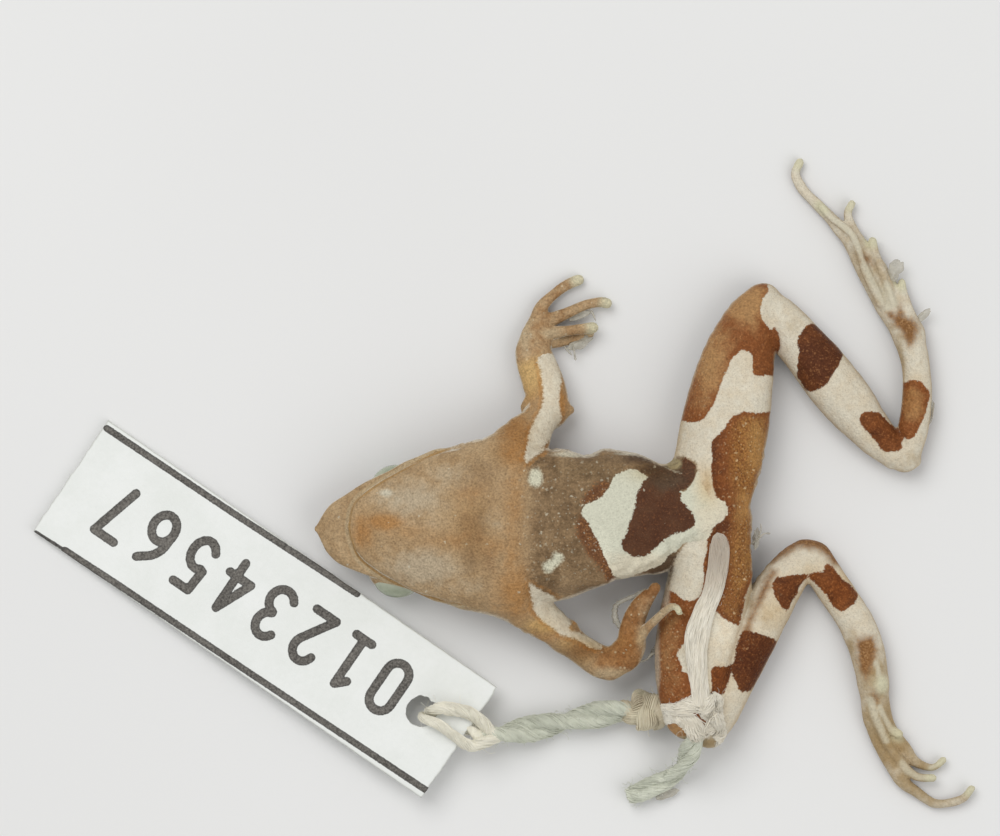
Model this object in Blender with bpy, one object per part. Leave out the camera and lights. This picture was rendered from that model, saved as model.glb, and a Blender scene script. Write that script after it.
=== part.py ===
"""A preserved Chile Darwin's frog lying on its back, with a card tag tied to its right knee.

Every table is in millimetres. The head points to -X, the belly faces +Z and the floor is z = 0.
The frog's left limbs are on the +Y side and its right limbs on the -Y side.
"""

import math

import bmesh
import bpy
import numpy as np

MM = 0.001

# Driving sizes
GAP = 0.3
NECK_X = -0.45
CHEST_X = 1.35
PELVIS_X = 9.0
EYE_RADIUS = 1.1
LID_THICKNESS = 0.36
LID_STRETCH = 1.15
WINDOW_RADIUS = 1.3
WINDOW_OUT = 1.5
WINDOW_UP = 0.45
NOSTRIL_RADIUS = 0.14
TAG_LENGTH = 22.9
TAG_WIDTH = 6.5
TAG_THICKNESS = 0.35
TAG_TURN = math.radians(-34.4)
TAG_TILT = math.radians(2.6)
TAG_MIDDLE = (-11.40, -9.26)
HOLE_RADIUS = 0.74
HOLE_FROM_END = 2.4
HOLE_ASIDE = 0.2
HOLE_SIDES = 24
CORD_STRANDS = {"radius": 0.34, "spread": 0.26}
TAIL_STRANDS = {"radius": 0.28, "spread": 0.20}
TWIST_PITCH = 5.6
BAND_RADIAL = 0.22
BAND_ALONG = 0.46

# Sides of a ring
TRUNK_SIDES = 28
LIMB_SIDES = 14
DIGIT_SIDES = 8
STRING_SIDES = 8
BAND_STEPS = 22

# Head and trunk, one row for each section across X: x, y, half width, widest height, up, down
SKULL = [
    (-8.95, -5.35, 0.14, 1.80, 0.12, 0.12),
    (-8.62, -5.38, 0.66, 1.82, 0.28, 0.34),
    (-8.30, -5.42, 1.14, 1.88, 0.42, 0.58),
    (-7.70, -5.44, 1.62, 2.00, 0.48, 0.98),
    (-6.60, -5.35, 2.20, 2.15, 0.46, 1.50),
    (-5.40, -5.21, 2.68, 2.25, 0.42, 1.90),
    (-4.30, -5.17, 3.16, 2.32, 0.40, 2.12),
    (-3.10, -5.18, 3.66, 2.38, 0.40, 2.28),
    (-1.90, -5.25, 3.80, 2.42, 0.40, 2.40),
    (-0.45, -5.25, 3.95, 2.45, 0.40, 2.50),
]
LOWER_JAW = [
    (-7.22, -5.22, 0.42, 3.00, 0.14, 0.08),
    (-7.07, -5.22, 0.98, 3.02, 0.24, 0.12),
    (-6.63, -5.24, 1.56, 3.08, 0.42, 0.14),
    (-5.80, -5.26, 2.18, 3.14, 0.72, 0.15),
    (-4.94, -5.26, 2.68, 3.20, 0.96, 0.15),
    (-4.07, -5.24, 3.12, 3.24, 1.16, 0.15),
    (-3.20, -5.22, 3.44, 3.27, 1.30, 0.15),
    (-2.20, -5.22, 3.70, 3.30, 1.40, 0.15),
    (-0.45, -5.20, 3.92, 3.30, 1.54, 0.15),
]
TRUNK = [
    (-0.45, -5.25, 3.95, 2.60, 2.24, 2.66),
    (0.40, -5.20, 4.04, 2.60, 2.38, 2.68),
    (1.20, -5.20, 3.98, 2.60, 2.42, 2.70),
    (1.60, -5.20, 3.80, 2.60, 2.36, 2.70),
    (2.20, -5.20, 3.72, 2.60, 2.38, 2.70),
    (3.30, -5.15, 3.56, 2.60, 2.44, 2.70),
    (4.45, -4.94, 3.39, 2.58, 2.44, 2.68),
    (5.60, -4.72, 3.17, 2.50, 2.32, 2.60),
    (6.80, -4.67, 2.88, 2.40, 2.12, 2.50),
    (7.90, -4.74, 2.50, 2.30, 1.92, 2.38),
    (9.00, -4.60, 2.18, 2.16, 1.76, 2.24),
    (10.26, -4.55, 1.92, 2.00, 1.60, 2.02),
    (11.30, -4.68, 1.62, 1.90, 1.34, 1.72),
    (11.85, -4.80, 0.98, 1.80, 0.90, 1.10),
]

# Limbs, one row for each section along the limb: x, y, z, half width, half thickness
LIMBS = {
    "upper_arm_left": [
        (0.60, -2.60, 2.70, 1.42, 1.20),
        (1.05, -1.20, 2.35, 1.34, 1.10),
        (1.65, -0.22, 1.90, 1.10, 0.95),
        (2.35, 0.55, 1.35, 0.86, 0.86),
    ],
    "forearm_left": [
        (2.52, 0.42, 1.25, 0.86, 0.86),
        (2.20, 1.45, 1.15, 0.98, 0.90),
        (1.75, 2.60, 1.00, 0.95, 0.80),
        (1.56, 3.30, 0.85, 0.82, 0.68),
    ],
    "upper_arm_right": [
        (0.80, -7.90, 2.80, 1.42, 1.20),
        (1.50, -9.05, 2.50, 1.24, 1.10),
        (2.35, -9.95, 2.15, 0.88, 0.92),
        (3.05, -10.55, 1.85, 0.74, 0.80),
    ],
    "forearm_right": [
        (3.15, -10.65, 1.80, 0.72, 0.78),
        (4.10, -11.30, 1.65, 0.72, 0.76),
        (4.84, -11.74, 1.65, 0.80, 0.76),
        (5.35, -11.92, 1.70, 0.78, 0.70),
    ],
    "thigh_left": [
        (10.25, -4.00, 1.80, 1.95, 1.78),
        (10.45, -2.50, 1.78, 2.06, 1.82),
        (10.84, -0.58, 1.68, 2.13, 1.74),
        (11.20, 1.36, 1.58, 1.98, 1.64),
        (11.62, 3.15, 1.44, 1.70, 1.48),
        (12.15, 4.72, 1.28, 1.22, 1.30),
        (12.66, 5.58, 1.15, 0.90, 1.10),
    ],
    "shank_left": [
        (13.00, 5.36, 1.15, 0.88, 1.00),
        (13.71, 4.56, 1.18, 1.09, 1.12),
        (15.31, 2.69, 1.22, 1.27, 1.20),
        (16.83, 0.80, 1.16, 1.30, 1.14),
        (17.55, -0.12, 1.06, 1.12, 1.02),
        (18.30, -0.94, 0.96, 0.97, 0.92),
        (19.00, -1.62, 0.88, 0.78, 0.82),
    ],
    "tarsus_left": [
        (19.60, -1.90, 0.84, 0.72, 0.78),
        (20.00, -0.60, 0.84, 0.75, 0.78),
        (20.22, 0.87, 0.80, 0.72, 0.74),
        (20.15, 2.60, 0.74, 0.69, 0.70),
        (19.82, 3.95, 0.70, 0.71, 0.66),
    ],
    "thigh_right": [
        (10.20, -5.40, 1.82, 1.90, 1.78),
        (10.20, -6.80, 1.83, 1.98, 1.85),
        (10.10, -8.10, 1.84, 2.04, 1.86),
        (9.64, -10.10, 1.86, 2.02, 1.76),
        (9.34, -12.00, 1.92, 1.88, 1.56),
        (9.20, -13.30, 1.98, 1.58, 1.34),
        (9.16, -14.30, 1.98, 1.28, 1.16),
    ],
    "shank_right": [
        (10.15, -15.15, 1.40, 0.78, 0.92),
        (10.62, -14.10, 1.32, 1.02, 1.08),
        (11.46, -12.05, 1.22, 1.20, 1.18),
        (12.35, -10.20, 1.18, 1.26, 1.16),
        (13.40, -8.35, 1.10, 1.12, 1.06),
        (14.20, -7.25, 1.00, 0.98, 0.96),
        (14.75, -6.75, 0.92, 0.84, 0.88),
    ],
    "tarsus_right": [
        (15.22, -6.82, 0.90, 0.85, 0.86),
        (16.20, -8.30, 0.86, 0.86, 0.82),
        (17.20, -9.80, 0.82, 0.88, 0.78),
        (17.80, -11.30, 0.76, 0.84, 0.74),
        (18.10, -12.90, 0.72, 0.72, 0.70),
    ],
}

# Palms and soles, as limbs are
PALMS = {
    "hand_left": [
        (1.55, 3.15, 0.80, 0.76, 0.62),
        (1.80, 4.00, 0.66, 0.80, 0.56),
        (2.02, 4.75, 0.56, 0.54, 0.46),
    ],
    "hand_right": [
        (5.62, -11.74, 1.76, 0.76, 0.66),
        (6.00, -11.46, 1.90, 0.82, 0.62),
        (6.32, -10.95, 2.10, 0.74, 0.56),
        (6.48, -10.40, 2.25, 0.56, 0.48),
    ],
    "foot_left": [
        (19.85, 4.00, 0.68, 0.74, 0.64),
        (19.05, 5.55, 0.66, 0.84, 0.62),
        (18.10, 7.05, 0.60, 0.74, 0.56),
        (17.20, 8.50, 0.52, 0.58, 0.48),
    ],
    "foot_right": [
        (18.08, -12.90, 0.70, 0.70, 0.64),
        (18.35, -14.60, 0.66, 0.70, 0.60),
        (18.85, -16.00, 0.58, 0.64, 0.54),
        (19.50, -17.25, 0.48, 0.46, 0.44),
    ],
}

# Fingers and toes, one row for each section: x, y, z, radius
DIGITS = {
    "hand_left": [
        [(1.82, 4.70, 0.58, 0.40), (1.95, 5.26, 0.50, 0.33), (2.36, 5.78, 0.44, 0.28),
         (2.94, 6.26, 0.36, 0.26), (3.42, 6.54, 0.32, 0.26), (3.82, 6.70, 0.32, 0.27)],
        [(2.05, 4.60, 0.58, 0.40), (2.40, 4.74, 0.56, 0.34), (3.15, 5.04, 0.60, 0.29),
         (4.10, 5.46, 0.60, 0.26), (4.82, 5.62, 0.50, 0.26), (5.18, 5.56, 0.46, 0.27)],
        [(2.00, 4.05, 0.70, 0.38), (2.66, 4.14, 0.84, 0.30), (3.39, 4.24, 0.88, 0.26),
         (4.50, 4.38, 0.76, 0.27)],
        [(1.85, 3.70, 0.55, 0.38), (2.54, 3.68, 0.42, 0.30), (3.30, 3.82, 0.32, 0.27),
         (3.90, 3.98, 0.30, 0.25), (4.36, 4.10, 0.30, 0.23)],
    ],
    "hand_right": [
        [(6.36, -11.00, 2.15, 0.40), (6.72, -10.06, 2.45, 0.32), (7.06, -9.12, 2.62, 0.29),
         (7.46, -8.20, 2.66, 0.28)],
        [(6.10, -10.90, 2.05, 0.40), (6.34, -9.98, 2.14, 0.30), (6.66, -9.24, 2.20, 0.28),
         (6.92, -8.76, 2.24, 0.26)],
        [(6.45, -11.20, 2.15, 0.38), (7.00, -10.40, 2.72, 0.29), (7.66, -9.60, 3.44, 0.25),
         (8.15, -9.12, 3.90, 0.22), (8.48, -9.08, 4.12, 0.20), (8.68, -9.34, 4.14, 0.19)],
        [(6.00, -11.30, 1.80, 0.38), (6.36, -10.70, 1.45, 0.28), (6.52, -10.10, 1.24, 0.27)],
    ],
    "foot_left": [
        [(17.30, 8.35, 0.50, 0.48), (16.55, 9.15, 0.44, 0.38), (15.90, 9.90, 0.38, 0.31),
         (15.25, 10.55, 0.34, 0.28), (14.62, 11.20, 0.31, 0.26), (14.32, 11.86, 0.30, 0.25),
         (14.54, 12.32, 0.32, 0.26)],
        [(18.10, 7.05, 0.84, 0.38), (17.45, 8.35, 0.94, 0.30), (16.60, 9.25, 0.98, 0.26),
         (15.66, 10.18, 0.92, 0.25)],
        [(18.30, 6.90, 0.52, 0.38), (17.65, 8.10, 0.42, 0.31), (17.06, 9.30, 0.36, 0.26),
         (16.85, 9.92, 0.36, 0.25), (17.06, 10.34, 0.42, 0.26)],
        [(19.05, 5.60, 0.56, 0.38), (18.66, 6.84, 0.46, 0.31), (18.24, 7.85, 0.40, 0.26),
         (18.06, 8.52, 0.40, 0.26)],
        [(19.70, 4.40, 0.56, 0.36), (19.78, 5.15, 0.50, 0.31), (19.56, 6.00, 0.44, 0.26),
         (19.48, 6.52, 0.42, 0.26)],
    ],
    "foot_right": [
        [(19.30, -16.95, 0.46, 0.44), (19.78, -17.90, 0.40, 0.34), (20.35, -18.42, 0.34, 0.28),
         (21.18, -18.72, 0.30, 0.26), (22.00, -18.60, 0.31, 0.25), (22.52, -18.32, 0.36, 0.25),
         (22.84, -17.98, 0.44, 0.26)],
        [(18.90, -16.10, 0.86, 0.38), (19.56, -16.86, 0.84, 0.29), (20.36, -17.34, 0.76, 0.26),
         (21.00, -17.42, 0.66, 0.26)],
        [(18.75, -15.20, 0.50, 0.40), (19.52, -16.18, 0.42, 0.31), (20.28, -16.84, 0.36, 0.26),
         (20.98, -16.96, 0.34, 0.25), (21.42, -16.62, 0.36, 0.26)],
        [(18.30, -13.90, 0.90, 0.34), (18.66, -14.66, 0.96, 0.28), (19.00, -15.06, 0.96, 0.26),
         (19.34, -15.28, 0.98, 0.26)],
        [(18.12, -12.30, 0.95, 0.32), (18.26, -12.66, 1.10, 0.26), (18.44, -12.86, 1.18, 0.26)],
    ],
}

EYES = {"eye_left": (-5.02, -3.36, 1.48), "eye_right": (-4.95, -7.60, 1.48)}
NOSTRILS = [(-7.95, -4.05, 1.55), (-7.95, -6.80, 1.55)]

# The elbow's point and the heel's small tubercles: x, y, z, radius, and how far out along X and Y
SPURS = {
    "upper_arm_left": [(2.55, 0.45, 1.35, 0.50, 0.80, 0.04)],
    "upper_arm_right": [(3.00, -10.45, 1.85, 0.48, 0.45, 0.42)],
    "shank_left": [(18.82, -1.66, 0.90, 0.34, 0.10, -0.62)],
    "tarsus_left": [(19.74, -1.92, 0.85, 0.42, 0.44, -0.16)],
    "shank_right": [(14.72, -6.62, 0.95, 0.36, -0.02, 0.34)],
}

# The string, from the tag to the knee, one row for each section: x, y, z, and a radius or half sizes
TIE_STRANDS = [
    [(-3.70, -14.16, 0.30, 0.27), (-3.70, -14.16, 1.15, 0.27), (-3.40, -14.04, 1.86, 0.30),
     (-2.75, -13.86, 1.98, 0.33), (-2.12, -13.84, 2.00, 0.33), (-1.46, -14.14, 1.94, 0.34),
     (-0.96, -14.74, 1.60, 0.36), (-0.50, -15.32, 1.22, 0.40)],
    [(-3.80, -14.30, 0.30, 0.27), (-3.80, -14.30, 1.15, 0.27), (-3.50, -14.62, 1.86, 0.30),
     (-2.86, -14.80, 1.98, 0.33), (-2.26, -15.26, 2.00, 0.33), (-1.76, -15.76, 1.88, 0.34),
     (-1.28, -16.02, 1.56, 0.36), (-0.80, -15.80, 1.34, 0.38), (-0.50, -15.44, 1.16, 0.40)],
    [(-3.75, -14.23, 0.42, 0.27), (-3.62, -14.30, 0.29, 0.27), (-2.70, -14.64, 0.29, 0.28),
     (-1.60, -15.06, 0.30, 0.29), (-0.90, -15.30, 0.60, 0.32), (-0.40, -15.38, 1.10, 0.40)],
]
CORD = [
    (0.25, -15.28, 0.98), (1.10, -15.10, 0.72), (2.10, -14.92, 0.63), (3.40, -14.70, 0.63),
    (4.50, -14.52, 0.74), (5.55, -14.26, 1.05),
]
KNOT_LUMPS = [
    (6.88, -13.78, 1.45, 0.72, 0.62, 0.60), (7.34, -14.56, 1.25, 0.60, 0.62, 0.56),
    (6.50, -14.20, 1.20, 0.50, 0.52, 0.50),
]
BAND = (9.17, -14.12, 1.98, 1.92, 1.76)
TAIL = [
    (9.54, -15.10, 3.52), (9.40, -15.52, 3.02), (9.18, -16.02, 2.26), (8.98, -16.50, 1.56),
    (8.68, -17.05, 0.96), (8.13, -17.57, 0.62), (7.45, -17.96, 0.52), (6.45, -18.36, 0.52),
]
LOOSE_STRAND = [
    (9.78, -13.30, 3.86, 0.44, 0.22), (9.64, -11.90, 4.00, 0.50, 0.22),
    (9.56, -10.55, 4.12, 0.54, 0.22), (9.95, -9.20, 4.20, 0.42, 0.24),
    (10.40, -8.20, 4.24, 0.50, 0.22), (10.65, -6.95, 4.20, 0.52, 0.22),
    (10.50, -6.00, 4.12, 0.42, 0.22),
]


def clear_scene():
    for obj in list(bpy.data.objects):
        bpy.data.objects.remove(obj)


def material(name, colour, roughness=0.5):
    """A plain Principled BSDF in the part's own colour."""
    made = bpy.data.materials.new(name)
    made.use_nodes = True
    shader = made.node_tree.nodes["Principled BSDF"]
    shader.inputs["Base Color"].default_value = (*colour, 1.0)
    shader.inputs["Roughness"].default_value = roughness
    shader.inputs["Metallic"].default_value = 0.0
    return made


def new_object(name, mesh):
    obj = bpy.data.objects.new(name, mesh)
    bpy.context.scene.collection.objects.link(obj)
    return obj


def mesh_object(name, rings, tips=(None, None)):
    """A closed skin over rings of points, each end closed by its tip point or by a flat face."""
    bm = bmesh.new()
    rows = [[bm.verts.new(np.asarray(p) * MM) for p in ring] for ring in rings]
    count = len(rows[0])
    for row, after in zip(rows, rows[1:]):
        for i in range(count):
            j = (i + 1) % count
            bm.faces.new((row[i], row[j], after[j], after[i]))
    for row, tip, turn in ((rows[0], tips[0], -1), (rows[-1], tips[1], 1)):
        if tip is None:
            bm.faces.new(row[::turn])
            continue
        point = bm.verts.new(np.asarray(tip) * MM)
        for i in range(count):
            bm.faces.new((row[i], row[(i + 1) % count], point)[::turn])
    bmesh.ops.recalc_face_normals(bm, faces=bm.faces)
    mesh = bpy.data.meshes.new(name)
    bm.to_mesh(mesh)
    bm.free()
    return new_object(name, mesh)


def smooth_rows(rows, steps):
    """Rows read from a smooth curve through the given rows, with steps between each two."""
    rows = np.asarray(rows, float)
    ends = np.vstack([2 * rows[0] - rows[1], rows, 2 * rows[-1] - rows[-2]])
    found = []
    for a, b, c, d in zip(ends, ends[1:], ends[2:], ends[3:]):
        for t in np.arange(steps) / steps:
            found.append(
                0.5 * (2 * b + (c - a) * t + (2 * a - 5 * b + 4 * c - d) * t * t
                       + (3 * b - a - 3 * c + d) * t ** 3)
            )
    found.append(rows[-1])
    return np.array(found)


def section(x_rows, x):
    """One row of a head or trunk table, interpolated at x."""
    table = np.asarray(x_rows, float)
    fine = smooth_rows(table, 6)
    return [np.interp(x, fine[:, 0], fine[:, k]) for k in range(1, table.shape[1])]


def across_ring(x, y, half_width, wide, up, down, flat_up, flat_down, grow=0.0):
    """A ring across X: a superellipse, with its own height and flatness above and below."""
    ring = []
    for i in range(TRUNK_SIDES):
        turn = 2 * math.pi * i / TRUNK_SIDES
        c, s = math.cos(turn), math.sin(turn)
        power = 2 / (flat_up if s > 0 else flat_down)
        tall = (up if s > 0 else down) + grow
        z = wide + tall * math.copysign(abs(s) ** power, s)
        side = (half_width + grow) * math.copysign(abs(c) ** power, c)
        ring.append((x, y + side, z if grow else max(z, 0.0)))
    return ring


def along_x(name, table, start, end, count, flat_up=2.0, flat_down=2.0, grow=0.0, tip=None):
    """A head or trunk piece from start to end, with flat ends or a tip at its start."""
    rings = []
    for x in np.linspace(start, end, count):
        rings.append(across_ring(x, *section(table, x), flat_up, flat_down, grow))
    return mesh_object(name, rings, (tip, None))


def limb(name, rows, sides=LIMB_SIDES, steps=2, dome=0.75, grow=0.0):
    """A rounded tube of oval sections along a smooth line, with a dome at each end."""
    fine = smooth_rows(rows, steps)
    points = fine[:, :3]
    wide, thick = fine[:, 3] + grow, fine[:, -1] + grow
    ahead = np.gradient(points, axis=0)
    ahead /= np.linalg.norm(ahead, axis=1)[:, None]
    side = np.cross(ahead, (0.0, 0.0, 1.0))
    side /= np.linalg.norm(side, axis=1)[:, None]
    over = np.cross(side, ahead)
    turns = 2 * np.pi * np.arange(sides) / sides

    def ring(k, shift, scale):
        middle = points[k] + ahead[k] * shift
        spread = np.outer(np.cos(turns), side[k]) * wide[k] + np.outer(np.sin(turns), over[k]) * thick[k]
        placed = middle + spread * scale
        if not grow:
            placed[:, 2] = np.maximum(placed[:, 2], 0.0)
        return placed

    rings = []
    reach = [dome * wide[0], dome * wide[-1]]
    lifts = [math.radians(a) for a in ((60, 30) if sides > DIGIT_SIDES else (45,))]
    for lift in lifts:
        rings.append(ring(0, -reach[0] * math.sin(lift), math.cos(lift)))
    for k in range(len(points)):
        rings.append(ring(k, 0.0, 1.0))
    last = len(points) - 1
    for lift in reversed(lifts):
        rings.append(ring(last, reach[1] * math.sin(lift), math.cos(lift)))
    first_tip = points[0] - ahead[0] * reach[0]
    last_tip = points[-1] + ahead[-1] * reach[1]
    if not grow:
        first_tip[2], last_tip[2] = max(first_tip[2], 0.0), max(last_tip[2], 0.0)
    return mesh_object(name, rings, (first_tip, last_tip))


def tube(name, rows, steps=2, floor=True):
    """A round tube through rows of x, y, z and radius, however it turns."""
    fine = smooth_rows(rows, steps)
    points, radii = fine[:, :3], fine[:, 3]
    ahead = np.gradient(points, axis=0)
    ahead /= np.linalg.norm(ahead, axis=1)[:, None]
    side = np.cross(ahead[0], (0.31, 0.95, 0.05))
    turns = 2 * np.pi * np.arange(STRING_SIDES) / STRING_SIDES
    rings = []
    for point, radius, way in zip(points, radii, ahead):
        side = side - way * np.dot(side, way)
        side /= np.linalg.norm(side)
        over = np.cross(way, side)
        placed = point + radius * (np.outer(np.cos(turns), side) + np.outer(np.sin(turns), over))
        if floor:
            placed[:, 2] = np.maximum(placed[:, 2], 0.0)
        rings.append(placed)
    tips = (points[0] - ahead[0] * radii[0] * 0.5, points[-1] + ahead[-1] * radii[-1] * 0.5)
    return mesh_object(name, rings, tips)


def band(name, grow=0.0):
    """A closed loop round the knee, in a plane across the limb, flat against the skin."""
    x, y, z, half_x, half_z = BAND
    rings = []
    for i in range(BAND_STEPS):
        turn = 2 * math.pi * i / BAND_STEPS
        out = np.array((math.cos(turn), 0.0, math.sin(turn)))
        middle = np.array((x + half_x * out[0], y, z + half_z * out[2]))
        ring = []
        for k in range(STRING_SIDES):
            part = 2 * math.pi * k / STRING_SIDES
            ring.append(
                middle + out * (BAND_RADIAL + grow) * math.cos(part)
                + np.array((0.0, BAND_ALONG + grow, 0.0)) * math.sin(part)
            )
        rings.append(ring)
    bm = bmesh.new()
    rows = [[bm.verts.new(p * MM) for p in ring] for ring in rings]
    for row, after in zip(rows, rows[1:] + rows[:1]):
        for i in range(STRING_SIDES):
            j = (i + 1) % STRING_SIDES
            bm.faces.new((row[i], row[j], after[j], after[i]))
    bmesh.ops.recalc_face_normals(bm, faces=bm.faces)
    mesh = bpy.data.meshes.new(name)
    bm.to_mesh(mesh)
    bm.free()
    return new_object(name, mesh)


def ball(name, centre, radius, stretch=(1.0, 1.0, 1.0), segments=18, rings=8):
    bm = bmesh.new()
    bmesh.ops.create_uvsphere(bm, u_segments=segments, v_segments=rings, radius=radius * MM)
    for vertex in bm.verts:
        vertex.co = [vertex.co[k] * stretch[k] + centre[k] * MM for k in range(3)]
        vertex.co.z = max(vertex.co.z, 0.0)
    mesh = bpy.data.meshes.new(name)
    bm.to_mesh(mesh)
    bm.free()
    return new_object(name, mesh)


def keep_largest(mesh):
    """Only the largest closed surface of a mesh stays."""
    bm = bmesh.new()
    bm.from_mesh(mesh)
    left = set(bm.verts)
    islands = []
    while left:
        todo = [left.pop()]
        island = set(todo)
        while todo:
            for edge in todo.pop().link_edges:
                for vertex in edge.verts:
                    if vertex in left:
                        left.discard(vertex)
                        island.add(vertex)
                        todo.append(vertex)
        islands.append(island)
    islands.sort(key=lambda found: spread_of(found), reverse=True)
    for island in islands[1:]:
        bmesh.ops.delete(bm, geom=list(island), context="VERTS")
    bmesh.ops.triangulate(bm, faces=bm.faces)
    bm.to_mesh(mesh)
    bm.free()


def spread_of(vertices):
    """The volume of the box round some vertices."""
    places = np.array([v.co for v in vertices])
    return float(np.prod(np.ptp(places, axis=0) + 1e-9))


def settle(obj):
    """The object's modifiers are applied, and loose scraps go."""
    graph = bpy.context.evaluated_depsgraph_get()
    mesh = bpy.data.meshes.new_from_object(obj.evaluated_get(graph))
    obj.modifiers.clear()
    obj.data = mesh
    keep_largest(mesh)
    return obj


def group_of(objects):
    group = bpy.data.collections.new("operands")
    for obj in objects:
        group.objects.link(obj)
    return group


def combine(obj, others, operation):
    """One Boolean of an object with a collection of closed meshes, which then goes."""
    group = group_of(others)
    modifier = obj.modifiers.new("combine", "BOOLEAN")
    modifier.operation = operation
    modifier.operand_type = "COLLECTION"
    modifier.collection = group
    modifier.solver = "EXACT"
    settle(obj)
    bpy.data.collections.remove(group)
    for other in others:
        bpy.data.objects.remove(other)
    return obj


def fuse(obj, others):
    return combine(obj, others, "UNION")


def cut(obj, others):
    return combine(obj, others, "DIFFERENCE")


def grown_trunk():
    """The whole head and trunk, larger by the gap all round, to cut what grows from it."""
    body = along_x("trunk_clear", TRUNK, NECK_X, TRUNK[-1][0] + GAP, 20, 2.3, 2.3, GAP)
    head = along_x("head_clear", SKULL, SKULL[0][0], NECK_X + GAP, 16, 2.4, 2.2, GAP)
    return [body, head]


def grown_limb(name):
    return limb(name + "_clear", LIMBS[name], grow=GAP)


def spurs(name):
    """Small points of skin at an elbow or a heel."""
    made = []
    for x, y, z, radius, out_x, out_y in SPURS.get(name, []):
        rows = [(x, y, z, radius, radius), (x + out_x, y + out_y, z, radius * 0.5, radius * 0.5)]
        made.append(limb(name + "_spur", rows, DIGIT_SIDES, 2))
    return made


def build_head(flesh):
    """Skull with lids and nostrils, parted from the lower jaw along the mouth."""
    skull = along_x("head", SKULL, SKULL[0][0], NECK_X - GAP / 2, 16, 2.6, 2.2)
    lids = [
        ball(name + "_lid", place, EYE_RADIUS + LID_THICKNESS, (LID_STRETCH, 1.0, 1.0), 16, 10)
        for name, place in EYES.items()
    ]
    fuse(skull, lids)
    sockets = [
        ball(name + "_socket", place, EYE_RADIUS + GAP, segments=16) for name, place in EYES.items()
    ]
    windows = [
        ball(name + "_window", (x, y + WINDOW_OUT * side, z + WINDOW_UP), WINDOW_RADIUS, segments=14)
        for side, (name, (x, y, z)) in zip((1, -1), EYES.items())
    ]
    nostrils = [ball("nostril", place, NOSTRIL_RADIUS, segments=8, rings=5) for place in NOSTRILS]
    cut(skull, sockets + windows + nostrils)
    skull.data.materials.append(flesh)
    jaw = along_x("lower_jaw", LOWER_JAW, LOWER_JAW[0][0], NECK_X - GAP / 2, 12, 2.2, 3.0)
    jaw.data.materials.append(flesh)


def build_eyes(gloss):
    for name, place in EYES.items():
        eye = ball(name, place, EYE_RADIUS, rings=10)
        eye.data.materials.append(gloss)


def build_trunk(flesh):
    """Chest, abdomen and pelvis, parted by flat cuts across X."""
    stops = [NECK_X, CHEST_X, PELVIS_X, TRUNK[-1][0]]
    for name, start, end, count in zip(("chest", "abdomen", "pelvis"), stops, stops[1:], (5, 13, 8)):
        near = start + GAP / 2
        far = end - GAP / 2 if name != "pelvis" else end
        piece = along_x(name, TRUNK, near, far, count, 2.3, 2.3)
        piece.data.materials.append(flesh)


def build_limbs(flesh):
    """Each length of a limb is cut clear of the length or trunk that it grows from."""
    roots = {
        "upper_arm": None, "forearm": "upper_arm", "hand": "forearm",
        "thigh": None, "shank": "thigh", "tarsus": "shank", "foot": "tarsus",
    }
    for side in ("left", "right"):
        for kind, root in roots.items():
            name = f"{kind}_{side}"
            if name in LIMBS:
                piece = limb(name, LIMBS[name])
                extra = spurs(name)
            else:
                piece = limb(name, PALMS[name], dome=0.5)
                extra = [
                    limb(name + "_digit", rows, DIGIT_SIDES, dome=1.0) for rows in DIGITS[name]
                ]
            if extra:
                fuse(piece, extra)
            blockers = grown_trunk() if root is None else [grown_limb(f"{root}_{side}")]
            if name in ("thigh_right", "shank_right"):
                blockers.append(band("band_clear", GAP))
            cut(piece, blockers)
            piece.data.materials.append(flesh)


def build_tag(card):
    """A card strip with a punched hole, lifted at the end that the string goes under."""
    bm = bmesh.new()
    bmesh.ops.create_cube(bm, size=1.0)
    half = TAG_LENGTH / 2
    for vertex in bm.verts:
        vertex.co.x *= TAG_LENGTH
        vertex.co.y *= TAG_WIDTH
        vertex.co.z *= TAG_THICKNESS
    mesh = bpy.data.meshes.new("tag")
    bm.to_mesh(mesh)
    bm.free()
    tag = new_object("tag", mesh)
    bm = bmesh.new()
    bmesh.ops.create_cone(
        bm, cap_ends=True, segments=HOLE_SIDES, radius1=HOLE_RADIUS, radius2=HOLE_RADIUS, depth=2.0
    )
    for vertex in bm.verts:
        vertex.co.x += half - HOLE_FROM_END
        vertex.co.y += HOLE_ASIDE
    hole_mesh = bpy.data.meshes.new("tag_hole")
    bm.to_mesh(hole_mesh)
    bm.free()
    cut(tag, [new_object("tag_hole", hole_mesh)])
    for vertex in tag.data.vertices:
        x, y, z = vertex.co
        lifted = z + (x + half) * math.sin(TAG_TILT) + TAG_THICKNESS / 2
        turned_x = x * math.cos(TAG_TURN) - y * math.sin(TAG_TURN)
        turned_y = x * math.sin(TAG_TURN) + y * math.cos(TAG_TURN)
        vertex.co = ((turned_x + TAG_MIDDLE[0]) * MM, (turned_y + TAG_MIDDLE[1]) * MM, lifted * MM)
    tag.data.materials.append(card)


def twisted(name, line, steps, radius, spread):
    """Two strands that wind round each other along a line, as one body."""
    fine = smooth_rows(line, steps)
    along = np.concatenate([[0], np.cumsum(np.linalg.norm(np.diff(fine, axis=0), axis=1))])
    ahead = np.gradient(fine, axis=0)
    ahead /= np.linalg.norm(ahead, axis=1)[:, None]
    side = np.cross(ahead, (0.0, 0.0, 1.0))
    side /= np.linalg.norm(side, axis=1)[:, None]
    over = np.cross(side, ahead)
    strands = []
    for start in (0.0, math.pi):
        turn = (start + 2 * math.pi * along / TWIST_PITCH)[:, None]
        middle = fine + spread * (np.cos(turn) * side + np.sin(turn) * over)
        strands.append(tube(name, np.hstack([middle, np.full((len(fine), 1), radius)]), 1))
    return fuse(strands[0], strands[1:])


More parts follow.
